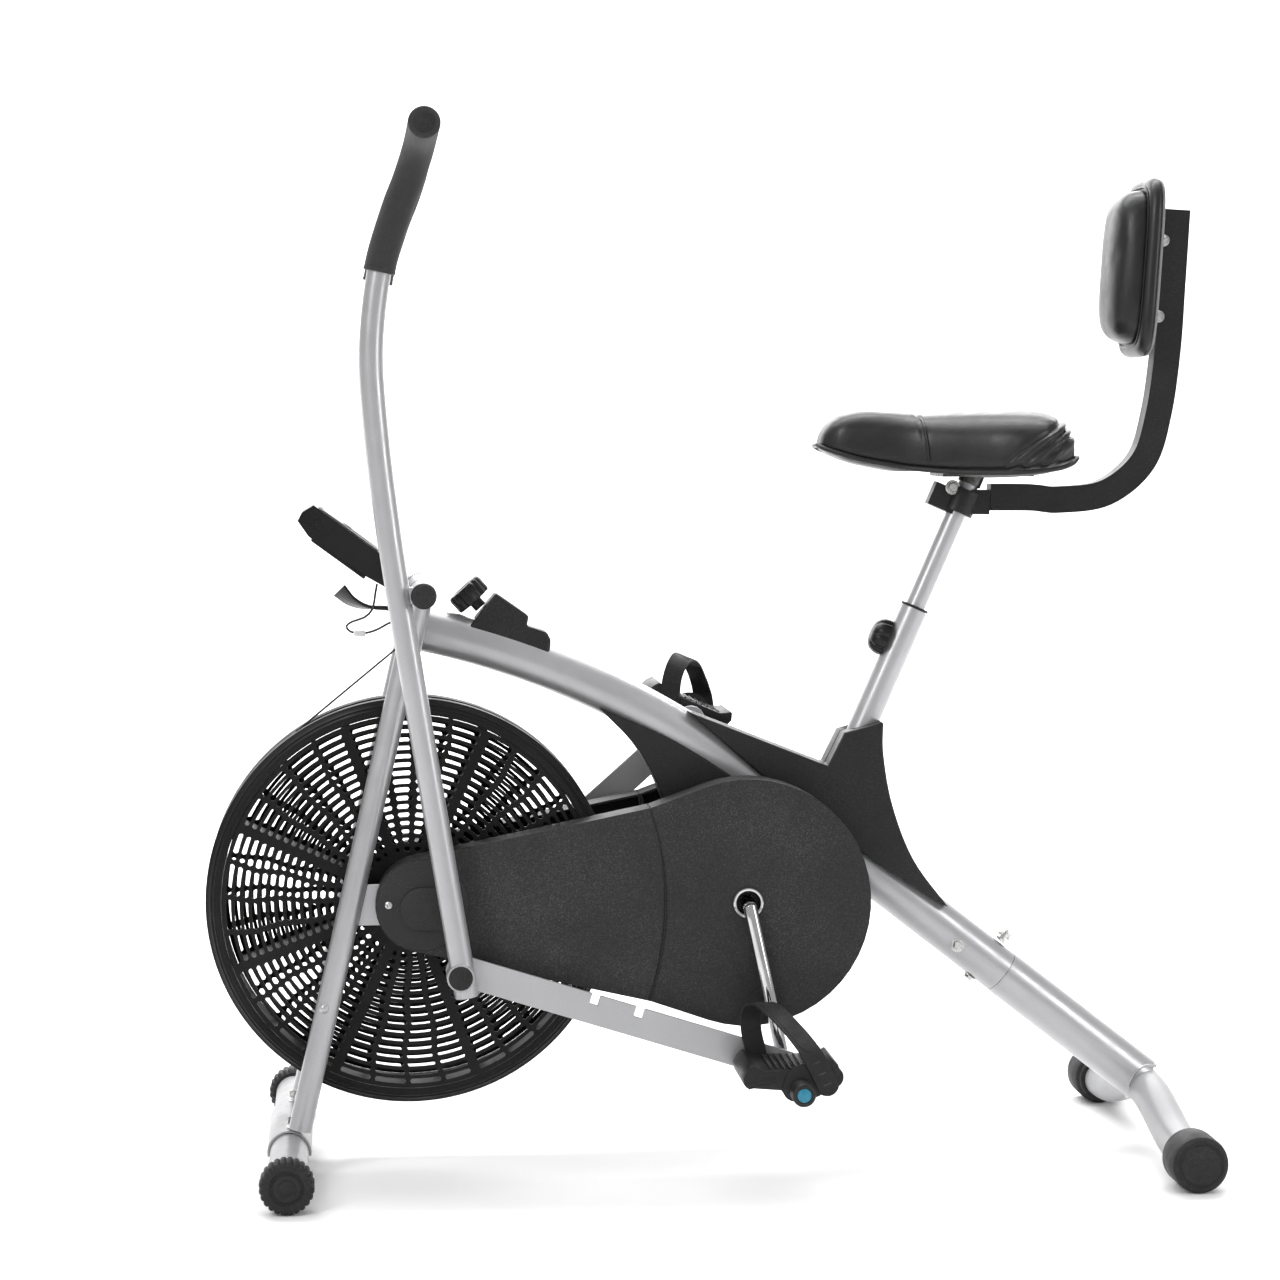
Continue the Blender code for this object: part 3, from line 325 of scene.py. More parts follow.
# ---- Mesh helpers -------------------------------------------------------------------
def keep(obj, mat, body, replaces=()):
    """Gives a new piece its material and the body that it rides on."""
    obj.data.materials.clear()
    obj.data.materials.append(mat)
    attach(obj, body)
    if replaces:
        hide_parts(*replaces)
    return obj


def from_bmesh(name, bm, sharp=32):
    """A mesh object with smooth shading, and creases where it turns more than sharp degrees."""
    bmesh.ops.recalc_face_normals(bm, faces=bm.faces)
    for face in bm.faces:
        face.smooth = True
    for edge in bm.edges:
        edge.smooth = len(edge.link_faces) == 2 and edge.calc_face_angle(0) < radians(sharp)
    mesh = bpy.data.meshes.new(name)
    bm.to_mesh(mesh)
    bm.free()
    return placed(name, mesh)


def bevelled(obj, width, segments=2, angle=40):
    made = obj.modifiers.new("bevel", "BEVEL")
    made.width, made.segments = width, segments
    made.limit_method, made.angle_limit = "ANGLE", radians(angle)
    made.harden_normals = False
    return obj


def across(axis):
    """Two directions at right angles to an axis."""
    first = Vector(axis).orthogonal().normalized()
    return first, Vector(axis).cross(first).normalized()


def heading(path, i):
    """The direction of a path at its point i."""
    return (path[min(i + 1, len(path) - 1)] - path[max(i - 1, 0)]).normalized()


def boxed(value, power):
    """A sine or cosine pushed outwards, for boxy rounds."""
    return copysign(abs(value) ** power, value)


def sweep(name, path, radius, steps=24, round_ends=0.0, closed=False):
    """A tube along a path; radius is one value or one per point."""
    path = [Vector(p) for p in path]
    radii = radius if isinstance(radius, (list, tuple)) else [radius] * len(path)
    if round_ends:
        path, radii = rounded_ends(path, radii, round_ends)
    bm = bmesh.new()
    rings, side = [], None
    for i, (point, r) in enumerate(zip(path, radii)):
        along = heading(path, i)
        if closed:
            along = (path[(i + 1) % len(path)] - path[i - 1]).normalized()
        side = across(along)[0] if side is None else (side - along * side.dot(along)).normalized()
        other = along.cross(side)
        rings.append([bm.verts.new(point + (side * cos(a) + other * sin(a)) * r)
                      for a in (2 * pi * k / steps for k in range(steps))])
    pairs = list(zip(rings, rings[1:])) + ([(rings[-1], rings[0])] if closed else [])
    for low, high in pairs:
        for k in range(steps):
            bm.faces.new((low[k], low[(k + 1) % steps], high[(k + 1) % steps], high[k]))
    if not closed:
        bm.faces.new(rings[0][::-1])
        bm.faces.new(rings[-1])
    return from_bmesh(name, bm)


def rounded_ends(path, radii, corner):
    """Adds short end rings so that a tube's ends are rounded by corner metres."""
    start, end = (path[0] - path[1]).normalized(), (path[-1] - path[-2]).normalized()
    angles = [radians(a) for a in (90, 60, 30)]
    head = [(path[0] - start * corner * (1 - sin(a)), radii[0] - corner * (1 - cos(a))) for a in angles]
    tail = [(path[-1] - end * corner * (1 - sin(a)), radii[-1] - corner * (1 - cos(a)))
            for a in angles[::-1]]
    middle = list(zip(path[1:-1], radii[1:-1]))
    whole = head + [(path[0] - start * corner, radii[0])] + middle
    whole += [(path[-1] - end * corner, radii[-1])] + tail
    return [p for p, _ in whole], [r for _, r in whole]


def lathe(name, profile, origin, axis=(0, 1, 0), steps=48, wobble=None, closed=False):
    """Turns (radius, height) points round an axis; wobble(angle, r, h) may change a radius."""
    axis = Vector(axis).normalized()
    u, v = across(axis)
    bm = bmesh.new()
    rings = []
    for r, h in profile:
        if r < 1e-6:
            rings.append([bm.verts.new(Vector(origin) + axis * h)] * steps)
            continue
        ring = []
        for k in range(steps):
            a = 2 * pi * k / steps
            radius = wobble(a, r, h) if wobble else r
            ring.append(bm.verts.new(Vector(origin) + axis * h + (u * cos(a) + v * sin(a)) * radius))
        rings.append(ring)
    pairs = list(zip(rings, rings[1:])) + ([(rings[-1], rings[0])] if closed else [])
    for low, high in pairs:
        for k in range(steps):
            corners = [low[k], low[(k + 1) % steps], high[(k + 1) % steps], high[k]]
            unique = list(dict.fromkeys(corners))
            if len(unique) > 2:
                bm.faces.new(unique)
    return from_bmesh(name, bm)


def plate(name, loops, y_middle, half, bevel=0.0, sharp=32):
    """Flat closed (x, z) loops, holes among them, given thickness along Y, with rounded edges."""
    curve = bpy.data.curves.new(name + "_outline", "CURVE")
    curve.dimensions, curve.fill_mode = "2D", "BOTH"
    curve.extrude, curve.bevel_depth, curve.bevel_resolution = half - bevel, bevel, 1
    curve.offset = -bevel
    for loop in loops:
        spline = curve.splines.new("POLY")
        spline.points.add(len(loop) - 1)
        for point, (x, z) in zip(spline.points, loop):
            point.co = (x, z, 0, 1)
        spline.use_cyclic_u = True
    shape = placed(name + "_outline", curve)
    mesh = evaluated(shape)
    bpy.data.objects.remove(shape)
    mesh.transform(Matrix.Translation((0, y_middle, 0)) @ Matrix.Rotation(pi / 2, 4, "X"))
    bm = bmesh.new()
    bm.from_mesh(mesh)
    bpy.data.meshes.remove(mesh)
    bmesh.ops.remove_doubles(bm, verts=bm.verts, dist=1e-6)
    return from_bmesh(name, bm, sharp)


def block(name, size, centre, turn=None, bevel=0.0, segments=2):
    """A box with rounded edges."""
    bm = bmesh.new()
    bmesh.ops.create_cube(bm, size=1.0)
    bmesh.ops.scale(bm, vec=size, verts=bm.verts)
    if bevel:
        bmesh.ops.bevel(bm, geom=bm.edges, offset=bevel, segments=segments, affect="EDGES", profile=0.5)
    place = Matrix.Translation(centre) @ (turn.to_4x4() if turn else Matrix.Identity(4))
    bmesh.ops.transform(bm, matrix=place, verts=bm.verts)
    return from_bmesh(name, bm)


def turned_to(axis):
    """A rotation whose local Z is the axis."""
    axis = Vector(axis).normalized()
    side = Z.cross(axis)
    side = side.normalized() if side.length > 1e-4 else across(axis)[0]
    return Matrix((side, axis.cross(side), axis)).transposed()


def arc(centre, radius, start, end, count):
    """(x, z) points on an arc, angles in degrees from +X towards +Z."""
    cx, cz = centre
    step = radians(end - start) / count
    return [(cx + radius * cos(radians(start) + step * i), cz + radius * sin(radians(start) + step * i))
            for i in range(count + 1)]


def circle(centre, radius, count):
    return arc(centre, radius, 0, 360, count)[:-1]


def xz(v):
    return v[0], v[2]


def smooth_path(points, per_span):
    """A smooth curve (Catmull-Rom) through the points."""
    places = [Vector(p) for p in points]
    padded = [places[0] * 2 - places[1], *places, places[-1] * 2 - places[-2]]
    path = []
    for a, b, c, d in zip(padded, padded[1:], padded[2:], padded[3:]):
        for i in range(per_span):
            t = i / per_span
            path.append(((2 * b) + (c - a) * t + (2 * a - 5 * b + 4 * c - d) * t ** 2
                         + (3 * b - a - 3 * c + d) * t ** 3) / 2)
    return path + [places[-1]]


def joined(name, *objs):
    """One object from several."""
    bm = bmesh.new()
    for obj in objs:
        bm.from_mesh(obj.data)
        bpy.data.objects.remove(obj)
    mesh = bpy.data.meshes.new(name)
    bm.to_mesh(mesh)
    bm.free()
    return placed(name, mesh)


# ---- The cord from the console ------------------------------------------------------
def make_cords():
    route = [(-0.35, -0.018, 0.629), (-0.352, -0.018, 0.618), (-0.355, -0.0185, 0.602),
             (-0.364, -0.019, 0.593), (-0.376, -0.019, 0.589), (-0.383, -0.019, 0.584),
             (-0.379, -0.019, 0.578), (-0.369, -0.019, 0.576), (-0.359, -0.019, 0.577),
             (-0.348, -0.019, 0.581), (-0.335, -0.019, 0.588), (-0.32, -0.019, 0.59),
             (-0.308, -0.019, 0.589)]
    path = smooth_path(route, 2)
    radius = 0.0013
    curve = bpy.data.curves.new("console_wire_cord", "CURVE")
    curve.dimensions, curve.bevel_depth, curve.bevel_resolution = "3D", radius, 3
    curve.use_fill_caps = True
    spline = curve.splines.new("POLY")
    spline.points.add(len(path) - 1)
    for point, place in zip(spline.points, path):
        point.co = (*place, 1)
    wire = placed("console_wire_cord", curve)
    keep(wire, CABLE, "frame", ["console_wire"])
    middle, toward = path[14], (path[16] - path[12]).normalized()
    shell = block("wire_connector", (0.0075, 0.006, 0.013), middle, turned_to(toward), 0.0012)
    keep(shell, CLEAR_GREY, "frame")


# ---- Nodes whose CAD shape stays ------------------------------------------------------
def refined(node, mat, bevel=0.0008, sharp=32):
    """The node's own solid with joined corners, rounded edges and smooth shading."""
    bm = bmesh.new()
    bm.from_mesh(NODES[node].data)
    bmesh.ops.remove_doubles(bm, verts=bm.verts, dist=1e-6)
    obj = from_bmesh(node + "_finish", bm, sharp)
    if bevel:
        bevelled(obj, bevel)
    return keep(obj, mat, NODES[node]["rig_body"], [node])


def finish_nodes():
    # front_saddle and front_stabiliser take the silver coat with its colour painted darker as shade.
    plain = {SILVER: ["fork_leg_left", "fork_leg_right", "axle_bracket_left", "axle_bracket_right",
                      "seat_tube", "bottom_bracket", "link_bar_left", "link_bar_right", "seat_post"],
             SHADED_FLOOR_SILVER: ["front_saddle", "front_stabiliser"], DULL: ["seat_bushing"],
             STEEL: ["fan_axle", "freewheel", "chain", "chainring", "saddle_pan"], WEBBING: ["brake_belt"],
             CABLE: ["brake_cable"], BLACK_PAINT: ["backrest_clamp"], CHROME: ["crank"],}
    for mat, names in plain.items():
        for name in names:
            refined(name, mat)


# ---- Fan ----------------------------------------------------------------------------
FAN_RIBS, FIRST_RIB, RIB_STEP, DISC_FACE = 8, 20.5, 45, 0.0415  # angles in degrees


def slot_loop(radius, half, start, end):
    """A rounded slot along an arc, angles in degrees."""
    middle = degrees(half / radius)
    start, end = start + middle * 0.6, end - middle * 0.6
    outer = arc(xz(FAN), radius + half, start, end, 3)
    inner = arc(xz(FAN), radius - half, end, start, 3)
    tips = [arc(xz(FAN), radius, a, a, 1)[0] for a in (end + middle * 0.6, start - middle * 0.6)]
    return outer + [tips[0]] + inner + [tips[1]]


def disc_slots(shift):
    """Rows of slots between eight wide ribs, split by three narrow ribs that step sideways."""
    loops = []
    for rib in range(FAN_RIBS):
        for row in range(16):
            radius = 0.1942 - 0.0091 * row
            wide = degrees(0.0046 / radius)
            narrow = degrees(0.0021 / radius)
            start = FIRST_RIB + RIB_STEP * rib + wide
            end = FIRST_RIB + RIB_STEP * (rib + 1) - wide
            step = 1.6 * abs((row / 3.5 + rib * 0.4 + shift) % 2 - 1) - 0.8
            cuts = [start] + [FIRST_RIB + RIB_STEP * rib + RIB_STEP / 4 * k + step
                              for k in (1, 2, 3)] + [end]
            for k in range(4):
                a = cuts[k] + (narrow if k else 0)
                b = cuts[k + 1] - (narrow if k < 3 else 0)
                loops.append(slot_loop(radius, 0.00265, a, b))
    return loops


def make_fan():
    for side, sign in SIDES:
        thick = 0.0015
        shift = 0.0 if sign < 0 else 0.7
        loops = [circle(xz(FAN), 0.2016, 120), circle(xz(FAN), 0.0056, 20)] + disc_slots(shift)
        disc = plate(f"slotted_disc_{side}", loops, sign * (DISC_FACE - thick), thick, 0.0)
        keep(disc, FAN_PLASTIC, "fan", [f"fan_disc_{side}"])
    low = 0.2022
    half = [(low, 0.0412), (0.206, 0.0415), (0.2072, 0.0405), (0.2098, 0.0405), (0.2106, 0.0394),
            (0.2118, 0.0372), (0.2134, 0.0372), (0.2142, 0.035), (0.2172, 0.0322), (0.2188, 0.031),
            (0.219, 0.029), (0.219, 0.018), (0.218, 0.0135), (0.2164, 0.0127), (0.2158, 0.011)]
    profile = half + [(r, -h) for r, h in half[::-1]]
    rim = lathe("fan_rim_moulding", profile, FAN, steps=160, closed=True)
    keep(rim, FAN_PLASTIC, "fan", ["fan_rim"])
    blades = []
    for k in range(FAN_RIBS):
        a = radians(FIRST_RIB + RIB_STEP * k)
        out = Vector((cos(a), 0, sin(a)))
        turn = Matrix((out, Y, out.cross(Y))).transposed()
        blades.append(block(f"blade_{k}", (0.166, 0.0758, 0.0024), FAN + out * 0.1125, turn, 0.0008, 1))
    hub = lathe("fan_hub", [(0.0058, 0.0379), (0.028, 0.0379), (0.0295, 0.0365), (0.0295, -0.0365),
                            (0.028, -0.0379), (0.0058, -0.0379)], FAN, steps=40, closed=True)
    keep(joined("fan_blade_star", hub, *blades), FAN_PLASTIC, "fan", ["fan_blades"])


# ---- Chain covers --------------------------------------------------------------------
def soft_edges(node, mat, width, sharp):
    """The node's solid with its outer edges rolled over, kept inside its own box."""
    bm = bmesh.new()
    bm.from_mesh(NODES[node].data)
    bmesh.ops.remove_doubles(bm, verts=bm.verts, dist=1e-6)
    bmesh.ops.dissolve_limit(bm, angle_limit=radians(0.4), verts=bm.verts, edges=bm.edges)
    obj = from_bmesh(node + "_moulding", bm, sharp)
    bevelled(obj, width, 3, 50)
    return keep(obj, mat, NODES[node]["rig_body"], [node])


def make_cover_details():
    for side, sign in SIDES:
        for piece in ("front", "rear"):
            soft_edges(f"cover_{piece}_{side}", COVER, 0.0016, 25)
        face = 0.086
        boss = Vector((-0.305, 0.0, 0.291))
        disc = lathe(f"boss_disc_{side}", [(0.0, 0.0), (0.0, 0.0018), (0.0462, 0.0018), (0.048, 0.0012),
                                           (0.0486, 0.0)], boss + Y * sign * face, Y * sign, 64)
        keep(disc, COVER, "frame")
        pad = [(-0.27, 0.3105)] + arc((-0.306, 0.2875), 0.023, 90, 270, 20) + [(-0.27, 0.2645)]
        cap = plate(f"boss_cap_{side}", [pad], sign * (face + 0.0034), 0.0018, 0.0008, 40)
        keep(cap, COVER, "frame")
        screw = lathe(f"boss_screw_{side}", [(0.0, 0.0018), (0.0012, 0.001), (0.0026, 0.0022),
                                             (0.0038, 0.0016), (0.0042, 0.0)],
                      Vector((-0.341, 0, 0.292)) + Y * sign * (face + 0.0017), Y * sign, 24)
        keep(screw, ZINC, "frame")
        collar = lathe(f"crank_hole_collar_{side}", [(0.0128, -0.002), (0.0128, 0.0012), (0.0134, 0.002),
                                                     (0.015, 0.0022), (0.016, 0.0014), (0.0162, -0.002)],
                       CRANK + Y * sign * face, Y * sign, 48, closed=True)
        keep(collar, CHROME, "frame")
        well = lathe(f"crank_well_{side}", [(0.0082, -0.012), (0.0186, -0.012), (0.0186, 0.0004),
                                            (0.0159, 0.0006), (0.015, -0.011), (0.0082, -0.011)],
                     CRANK + Y * sign * face, Y * sign, 40, closed=True)
        keep(well, DULL, "frame")
        lip = []
        for k in range(25):
            t = k / 24
            x = -0.0624 - 0.0016 * t + 0.017 * 4 * t * (1 - t)
            lip.append((x, sign * (face - 0.0002), 0.3915 - 0.2074 * t))
        ridge = sweep(f"seam_lip_{side}", lip, [0.0004 + 0.0013 * min(k / 12, 1) for k in range(25)], 10)
        keep(ridge, SMOOTH, "frame")


# ---- Shrouds and guards ------------------------------------------------------------------
def smooth_outline(corners, per_span=6):
    """A closed outline in which runs of points are curved; None starts a new run."""
    runs, run = [], []
    for corner in corners:
        if corner is None:
            runs.append(run)
            run = [run[-1]]
        else:
            run.append(corner)
    runs.append(run)
    outline = []
    for run in runs:
        points = run if len(run) < 3 else [tuple(p) for p in smooth_path(run, per_span)]
        outline += points if not outline else points[1:]
    return outline


def bored(obj, foot, axis, radius, low, high):
    """Cuts a round hole along an axis, from low to high past its foot."""
    cutter = lathe("cutter", [(0, low), (radius, low), (radius, high), (0, high)], foot, axis, 48)
    hole = obj.modifiers.new("hole", "BOOLEAN")
    hole.object, hole.operation, hole.solver = cutter, "DIFFERENCE", "EXACT"
    applied(obj)
    bpy.data.objects.remove(cutter)
    return obj


def moulding(name, outline, middle, half, edge, segments=4, sharp=60):
    """A plate with its outer edges rounded."""
    return bevelled(plate(name, [outline], middle, half, 0.0, sharp), edge, segments, sharp)


def make_guards():
    rear_edge = [(0.2704, 0.2704), (0.2315, 0.3238), (0.2082, 0.3834), (0.198, 0.4393), (0.1978, 0.4754)]
    corners = [(-0.016, 0.489), (0.0826, 0.4024), (0.1779, 0.3293), (0.2704, 0.2704), None, *rear_edge[1:],
               None, (0.1545, 0.464), None, (0.1366, 0.4281), None, (-0.016, 0.489)]
    outline = smooth_outline(corners)[:-1]
    for side, sign in SIDES:
        shell = moulding(f"shroud_{side}_moulding", outline, sign * 0.0153, 0.015, 0.0075, 5)
        bored(shell, SEAT_FOOT, SEAT_UP, 0.0154, -0.16, 0.2)
        keep(shell, DULL, "frame", [f"shroud_{side}"])
    low = smooth_outline([(-0.112, 0.493), (-0.077, 0.4567), (-0.0565, 0.425), (-0.0425, 0.3933),
                          (-0.025, 0.35), None, (0.09, 0.325), None, (0.125, 0.348), None, (0.0615, 0.398),
                          (-0.027, 0.455), (-0.112, 0.493)])
    keep(moulding("lower_guard_moulding", low[:-1], 0, 0.0235, 0.0035), DULL, "frame", ["lower_guard"])
    house = [(-0.2515, 0.565), (-0.251, 0.5828), (-0.2227, 0.6183), (-0.1871, 0.5931), (-0.1893, 0.5823),
             (-0.1677, 0.5756), (-0.1634, 0.5669), (-0.167, 0.54)]
    keep(moulding("tension_housing_moulding", house, 0, 0.0195, 0.0022, 3, 30), DULL, "frame",
         ["tension_housing"])
    ribbon = smooth_path([(0.318, 0.7185), (0.3645, 0.718), (0.394, 0.7155), (0.446, 0.723), (0.487, 0.757),
                          (0.504, 0.81), (0.5135, 0.88), (0.518, 0.95), (0.5228, 1.031)], 8)
    left, right = [], []
    for i, p in enumerate(ribbon):
        along = heading(ribbon, i)
        side = Vector((-along.y, along.x)) * 0.0145
        left.append(tuple(p + side))
        right.append(tuple(p - side))
    post = moulding("backrest_bar", left + right[::-1], 0, 0.0125, 0.003)
    tabs = [block(f"tab_{k}", (0.013, 0.018, 0.022), (x, 0, z), None, 0.002)
            for k, (x, z) in enumerate(((0.5038, 0.9975), (0.4985, 0.915)))]
    keep(post, BLACK_PAINT, "seat", ["backrest_post"])
    keep(joined("backrest_tabs", *tabs), BLACK_PAINT, "seat")


# ---- Fasteners -----------------------------------------------------------------------
def bolt(name, centre, axis, radius, height, body="frame"):
    """A hex head on a washer."""
    axis = Vector(axis).normalized()
    head = lathe(name + "_head", [(0, height), (radius * 0.8, height), (radius, height * 0.78),
                                  (radius, height * 0.18), (0, height * 0.18)], centre, axis, 48,
                 lambda a, r, h: r * (0.87 / cos((a + pi / 6) % (pi / 3) - pi / 6)))
    ring = lathe(name + "_washer", [(0, height * 0.2), (radius * 1.25, height * 0.2),
                                    (radius * 1.35, height * 0.1), (radius * 1.35, 0), (0, 0)], centre,
                 axis, 36)
    return keep(joined(name, head, ring), ZINC, body)


def wing_nut(name, centre, axis, size):
    """A nut with two rounded wings on a short thread end."""
    axis = Vector(axis).normalized()
    side = across(axis)[0]
    turn = Matrix((side, axis.cross(side), axis)).transposed()
    pieces = [lathe(name + "_cone", [(0, size * 0.9), (size * 0.42, size * 0.85), (size * 0.62, 0), (0, 0)],
                    centre, axis, 24),
              lathe(name + "_thread", [(0, size * 1.5), (size * 0.25, size * 1.45), (size * 0.25, 0),
                                       (0, 0)], centre, axis, 16)]
    for flip in (-1, 1):
        wing = block(f"{name}_wing_{flip}", (size * 1.1, size * 0.35, size * 1.0),
                     Vector(centre) + side * flip * size * 0.85 + axis * size * 0.75, turn, size * 0.16, 2)
        pieces.append(wing)
    return keep(joined(name, *pieces), ZINC, "frame")


def make_fasteners():
    bolt("joint_side_bolt", (0.281, -0.0246, 0.228), (0, -1, 0), 0.0055, 0.0045)
    normal = Vector((sin(SLOPE), 0, cos(SLOPE)))
    joint_top = Vector((0.333, 0, 0.2285))
    bolt("joint_top_bolt", joint_top, normal, 0.006, 0.004)
    wing_nut("joint_wing_nut", joint_top + normal * 0.0035, normal, 0.008)
    bolt("joint_lower_bolt", (0.2995, 0, 0.1905), -normal, 0.0055, 0.0045)
    for side, sign in SIDES:
        leg = Vector((-0.41, sign * 0.0727, 0.182))
        rivet = lathe(f"leg_rivet_{side}", [(0, 0.0026), (0.003, 0.0022), (0.005, 0.0008), (0.0054, 0),
                                            (0, 0)], leg + Y * sign * 0.0122, Y * sign, 28)
        keep(rivet, SILVER, "frame")
        at = FRONT + Y * sign * 0.068 + Vector((0.004, 0, 0.0232))
        bolt(f"saddle_bolt_{side}", at, (0.17, 0, 0.98), 0.0055, 0.003)
        wing_nut(f"saddle_wing_nut_{side}", at + Vector((0.0004, 0, 0.0028)), (0.17, 0, 0.98), 0.0075)
        washer = lathe(f"lever_washer_{side}", [(0.0097, 0), (0.014, 0), (0.014, 0.001), (0.0097, 0.001)],
                       PIVOT + Y * sign * 0.0683, Y * sign, 40, closed=True)
        keep(washer, RUBBER, "frame")
    bolt("clamp_bolt", (0.276, -0.012, 0.7296), (0, -1, 0), 0.006, 0.005, "seat")
    for k, (x, z) in enumerate(((0.508, 0.9975), (0.503, 0.915))):
        bolt(f"backrest_bolt_{k}", (x, -0.012, z), (0, -1, 0), 0.0048, 0.0042, "seat")


# ---- Frame tubes ----------------------------------------------------------------------
def main_line():
    """Centre line of the main tube, its bend in fine steps."""
    head, bend, low, high = Vector((-0.298, 0, 0.579)), 0.92, radians(13), SLOPE
    path = []
    for i in range(29):
        a = low + (high - low) * i / 28
        path.append(head + Vector((bend * (sin(a) - sin(low)), 0, -bend * (cos(low) - cos(a)))))
    end = path[-1]
    return path, lambda x: Vector((x, 0, end.z - (x - end.x) * tan(high)))


def make_tubes():
    path, down = main_line()
    tube = sweep("main_tube_finish", path + [down(0.1), down(0.2), down(0.3), down(0.334)], 0.0245, 56)
    keep(tube, SILVER, "frame", ["main_tube"])
    start = down(0.3344)
    rear = sweep("rear_tube_finish", [start, down(0.34), down(0.42), down(0.47), down(0.492)],
                 [0.0247, 0.025, 0.025, 0.025, 0.025], 56)
    keep(rear, SILVER, "frame", ["rear_tube"])
    bow = []
    for i in range(-20, 21):
        y = 0.218 * i / 20
        rise = 0.5 + 0.5 * cos(pi * min(abs(y) / 0.19, 1.0))
        bow.append((REAR_X, y, 0.0302 + 0.034 * rise))
    # The rear floor tube takes the silver coat with its colour painted darker as shade.
    keep(sweep("rear_stabiliser_finish", bow, 0.0205, 48), SHADED_FLOOR_SILVER, "frame", ["rear_stabiliser"])
    end = down(REAR_X)
    along = (end - down(0.4)).normalized()
    v = along.cross(Y)
    ring = []
    for k in range(48):
        a = 2 * pi * k / 48
        off = Y * cos(a) * 0.0247 + v * sin(a) * 0.0247
        depth = sqrt(max(0.0208 ** 2 - min(abs(v.dot(off)), 0.0206) ** 2, 0.0))
        ring.append(end + off - along * depth)
    keep(sweep("rear_weld", ring, 0.0016, 8, closed=True), SILVER, "frame")
    head = lathe("head_tube_finish", [(0, 0.142), (0.0095, 0.142), (0.0095, 0.068), (0.013, 0.068),
                                      (0.0135, 0.0674), (0.0135, -0.0674), (0.013, -0.068),
                                      (0.0095, -0.068), (0.0095, -0.142), (0, -0.142)], PIVOT, Y, 48)
    back = block("head_back_plate", (0.004, 0.084, 0.066),
                 Vector((-0.298, 0, 0.579)) + Vector((-0.9744, 0, 0.225)) * 0.0029
                 + Vector((0.225, 0, 0.9744)) * 0.008, Matrix.Rotation(radians(13), 3, "Y"), 0.001)
    keep(joined("head_finish", head, back), SILVER, "frame", ["head_tube"])


def lever_swing(side):
    """A lever's angle from the left one, where its link bar reaches the crank pin, and its foot."""
    foot = Vector((-0.267, 0, 0.2217))
    if side == "left":
        return 0.0, foot
    rocker, coupler, line = (foot - PIVOT).length, (PINS["left"] - foot).length, PINS["right"] - PIVOT
    along = (rocker ** 2 - coupler ** 2 + line.length ** 2) / (2 * line.length)
    unit = line.normalized()
    goal = unit * along + Vector((unit.z, 0, -unit.x)) * sqrt(rocker ** 2 - along ** 2)
    rest = foot - PIVOT
    return atan2(goal.x, goal.z) - atan2(rest.x, rest.z), PIVOT + goal


def make_levers():
    places = [(-0.2603, 0.128, 0.1995), (-0.2915, 0.128, 0.39), (-0.3285, 0.128, 0.62), (-0.34, 0.128, 0.7),
              (-0.35, 0.128, 0.787), (-0.3552, 0.128, 0.875), (-0.3463, 0.128, 0.956),
              (-0.3294, 0.129, 1.015), (-0.3159, 0.136, 1.05), (-0.307, 0.154, 1.0765),
              (-0.303, 0.185, 1.092), (-0.3015, 0.248, 1.0995)]
    for side, sign in SIDES:
        swing, foot = lever_swing(side)
        turn = Matrix.Rotation(swing, 3, "Y")
        fine = 6
        path = [PIVOT + turn @ (Vector((x, y * sign, z)) - PIVOT) for x, y, z in smooth_path(places, fine)]
        tube = sweep(f"lever_tube_{side}", path[:-3], 0.0127, 40, 0.0012)
        low, high = 0.0695, 0.1415
        sleeve = lathe(f"lever_sleeve_{side}", [(0.0098, low), (0.0132, low), (0.0137, low + 0.0006),
                                                (0.0137, high - 0.0006), (0.0132, high), (0.0098, high)],
                       PIVOT, Y * sign, 48, closed=True)
        boss = lathe(f"lever_boss_{side}", [(0, 0.1145), (0.0138, 0.1145), (0.0145, 0.1152),
                                            (0.0145, 0.1418), (0.0138, 0.1425), (0, 0.1425)], foot,
                     Y * sign, 48)
        gusset = block(f"lever_gusset_{side}", (0.022, 0.012, 0.018),
                       PIVOT + Vector((-0.013, sign * 0.128, 0)), None, 0.002)
        keep(joined(f"lever_{side}_finish", tube, sleeve, boss, gusset), SILVER, f"arm_{side}",
             [f"lever_{side}"])
        cap = lathe(f"foot_cap_{side}", [(0, 0.0046), (0.0086, 0.0046), (0.011, 0.0038), (0.0124, 0.002),
                                         (0.0126, 0), (0, 0)], foot + Y * sign * 0.1426, Y * sign, 40)
        keep(cap, RUBBER, f"arm_{side}")
        grip_path = path[6 * fine:]
        grip = sweep(f"grip_{side}_foam", grip_path, 0.0165, 40, 0.003)
        keep(grip, FOAM, f"arm_{side}", [f"grip_{side}"])
        out = (grip_path[-1] - grip_path[-2]).normalized()
        plug = lathe(f"grip_end_{side}", [(0, 0.001), (0.01, 0.001), (0.0112, 0.0004), (0.0114, -0.001),
                                          (0, -0.001)], grip_path[-1], out, 36)
        keep(plug, RUBBER, f"arm_{side}")
        lip = (grip_path[0] - grip_path[1]).normalized()
        hem = lathe(f"grip_hem_{side}", [(0.0128, 0), (0.0168, 0), (0.017, -0.003), (0.016, -0.0036),
                                         (0.0128, -0.003)], grip_path[0] - lip * 0.0005, lip, 36,
                    closed=True)
        keep(hem, FOAM, f"arm_{side}")
        low = 0.1423
        cap = lathe(f"pivot_cap_{side}_moulding", [(0, 0.1492), (0.0088, 0.1495), (0.011, 0.149),
                                                   (0.0128, 0.1476), (0.0135, 0.1462), (0.0135, low),
                                                   (0, low)], PIVOT, Y * sign, 48)
        keep(cap, RUBBER, f"arm_{side}", [f"pivot_cap_{side}"])


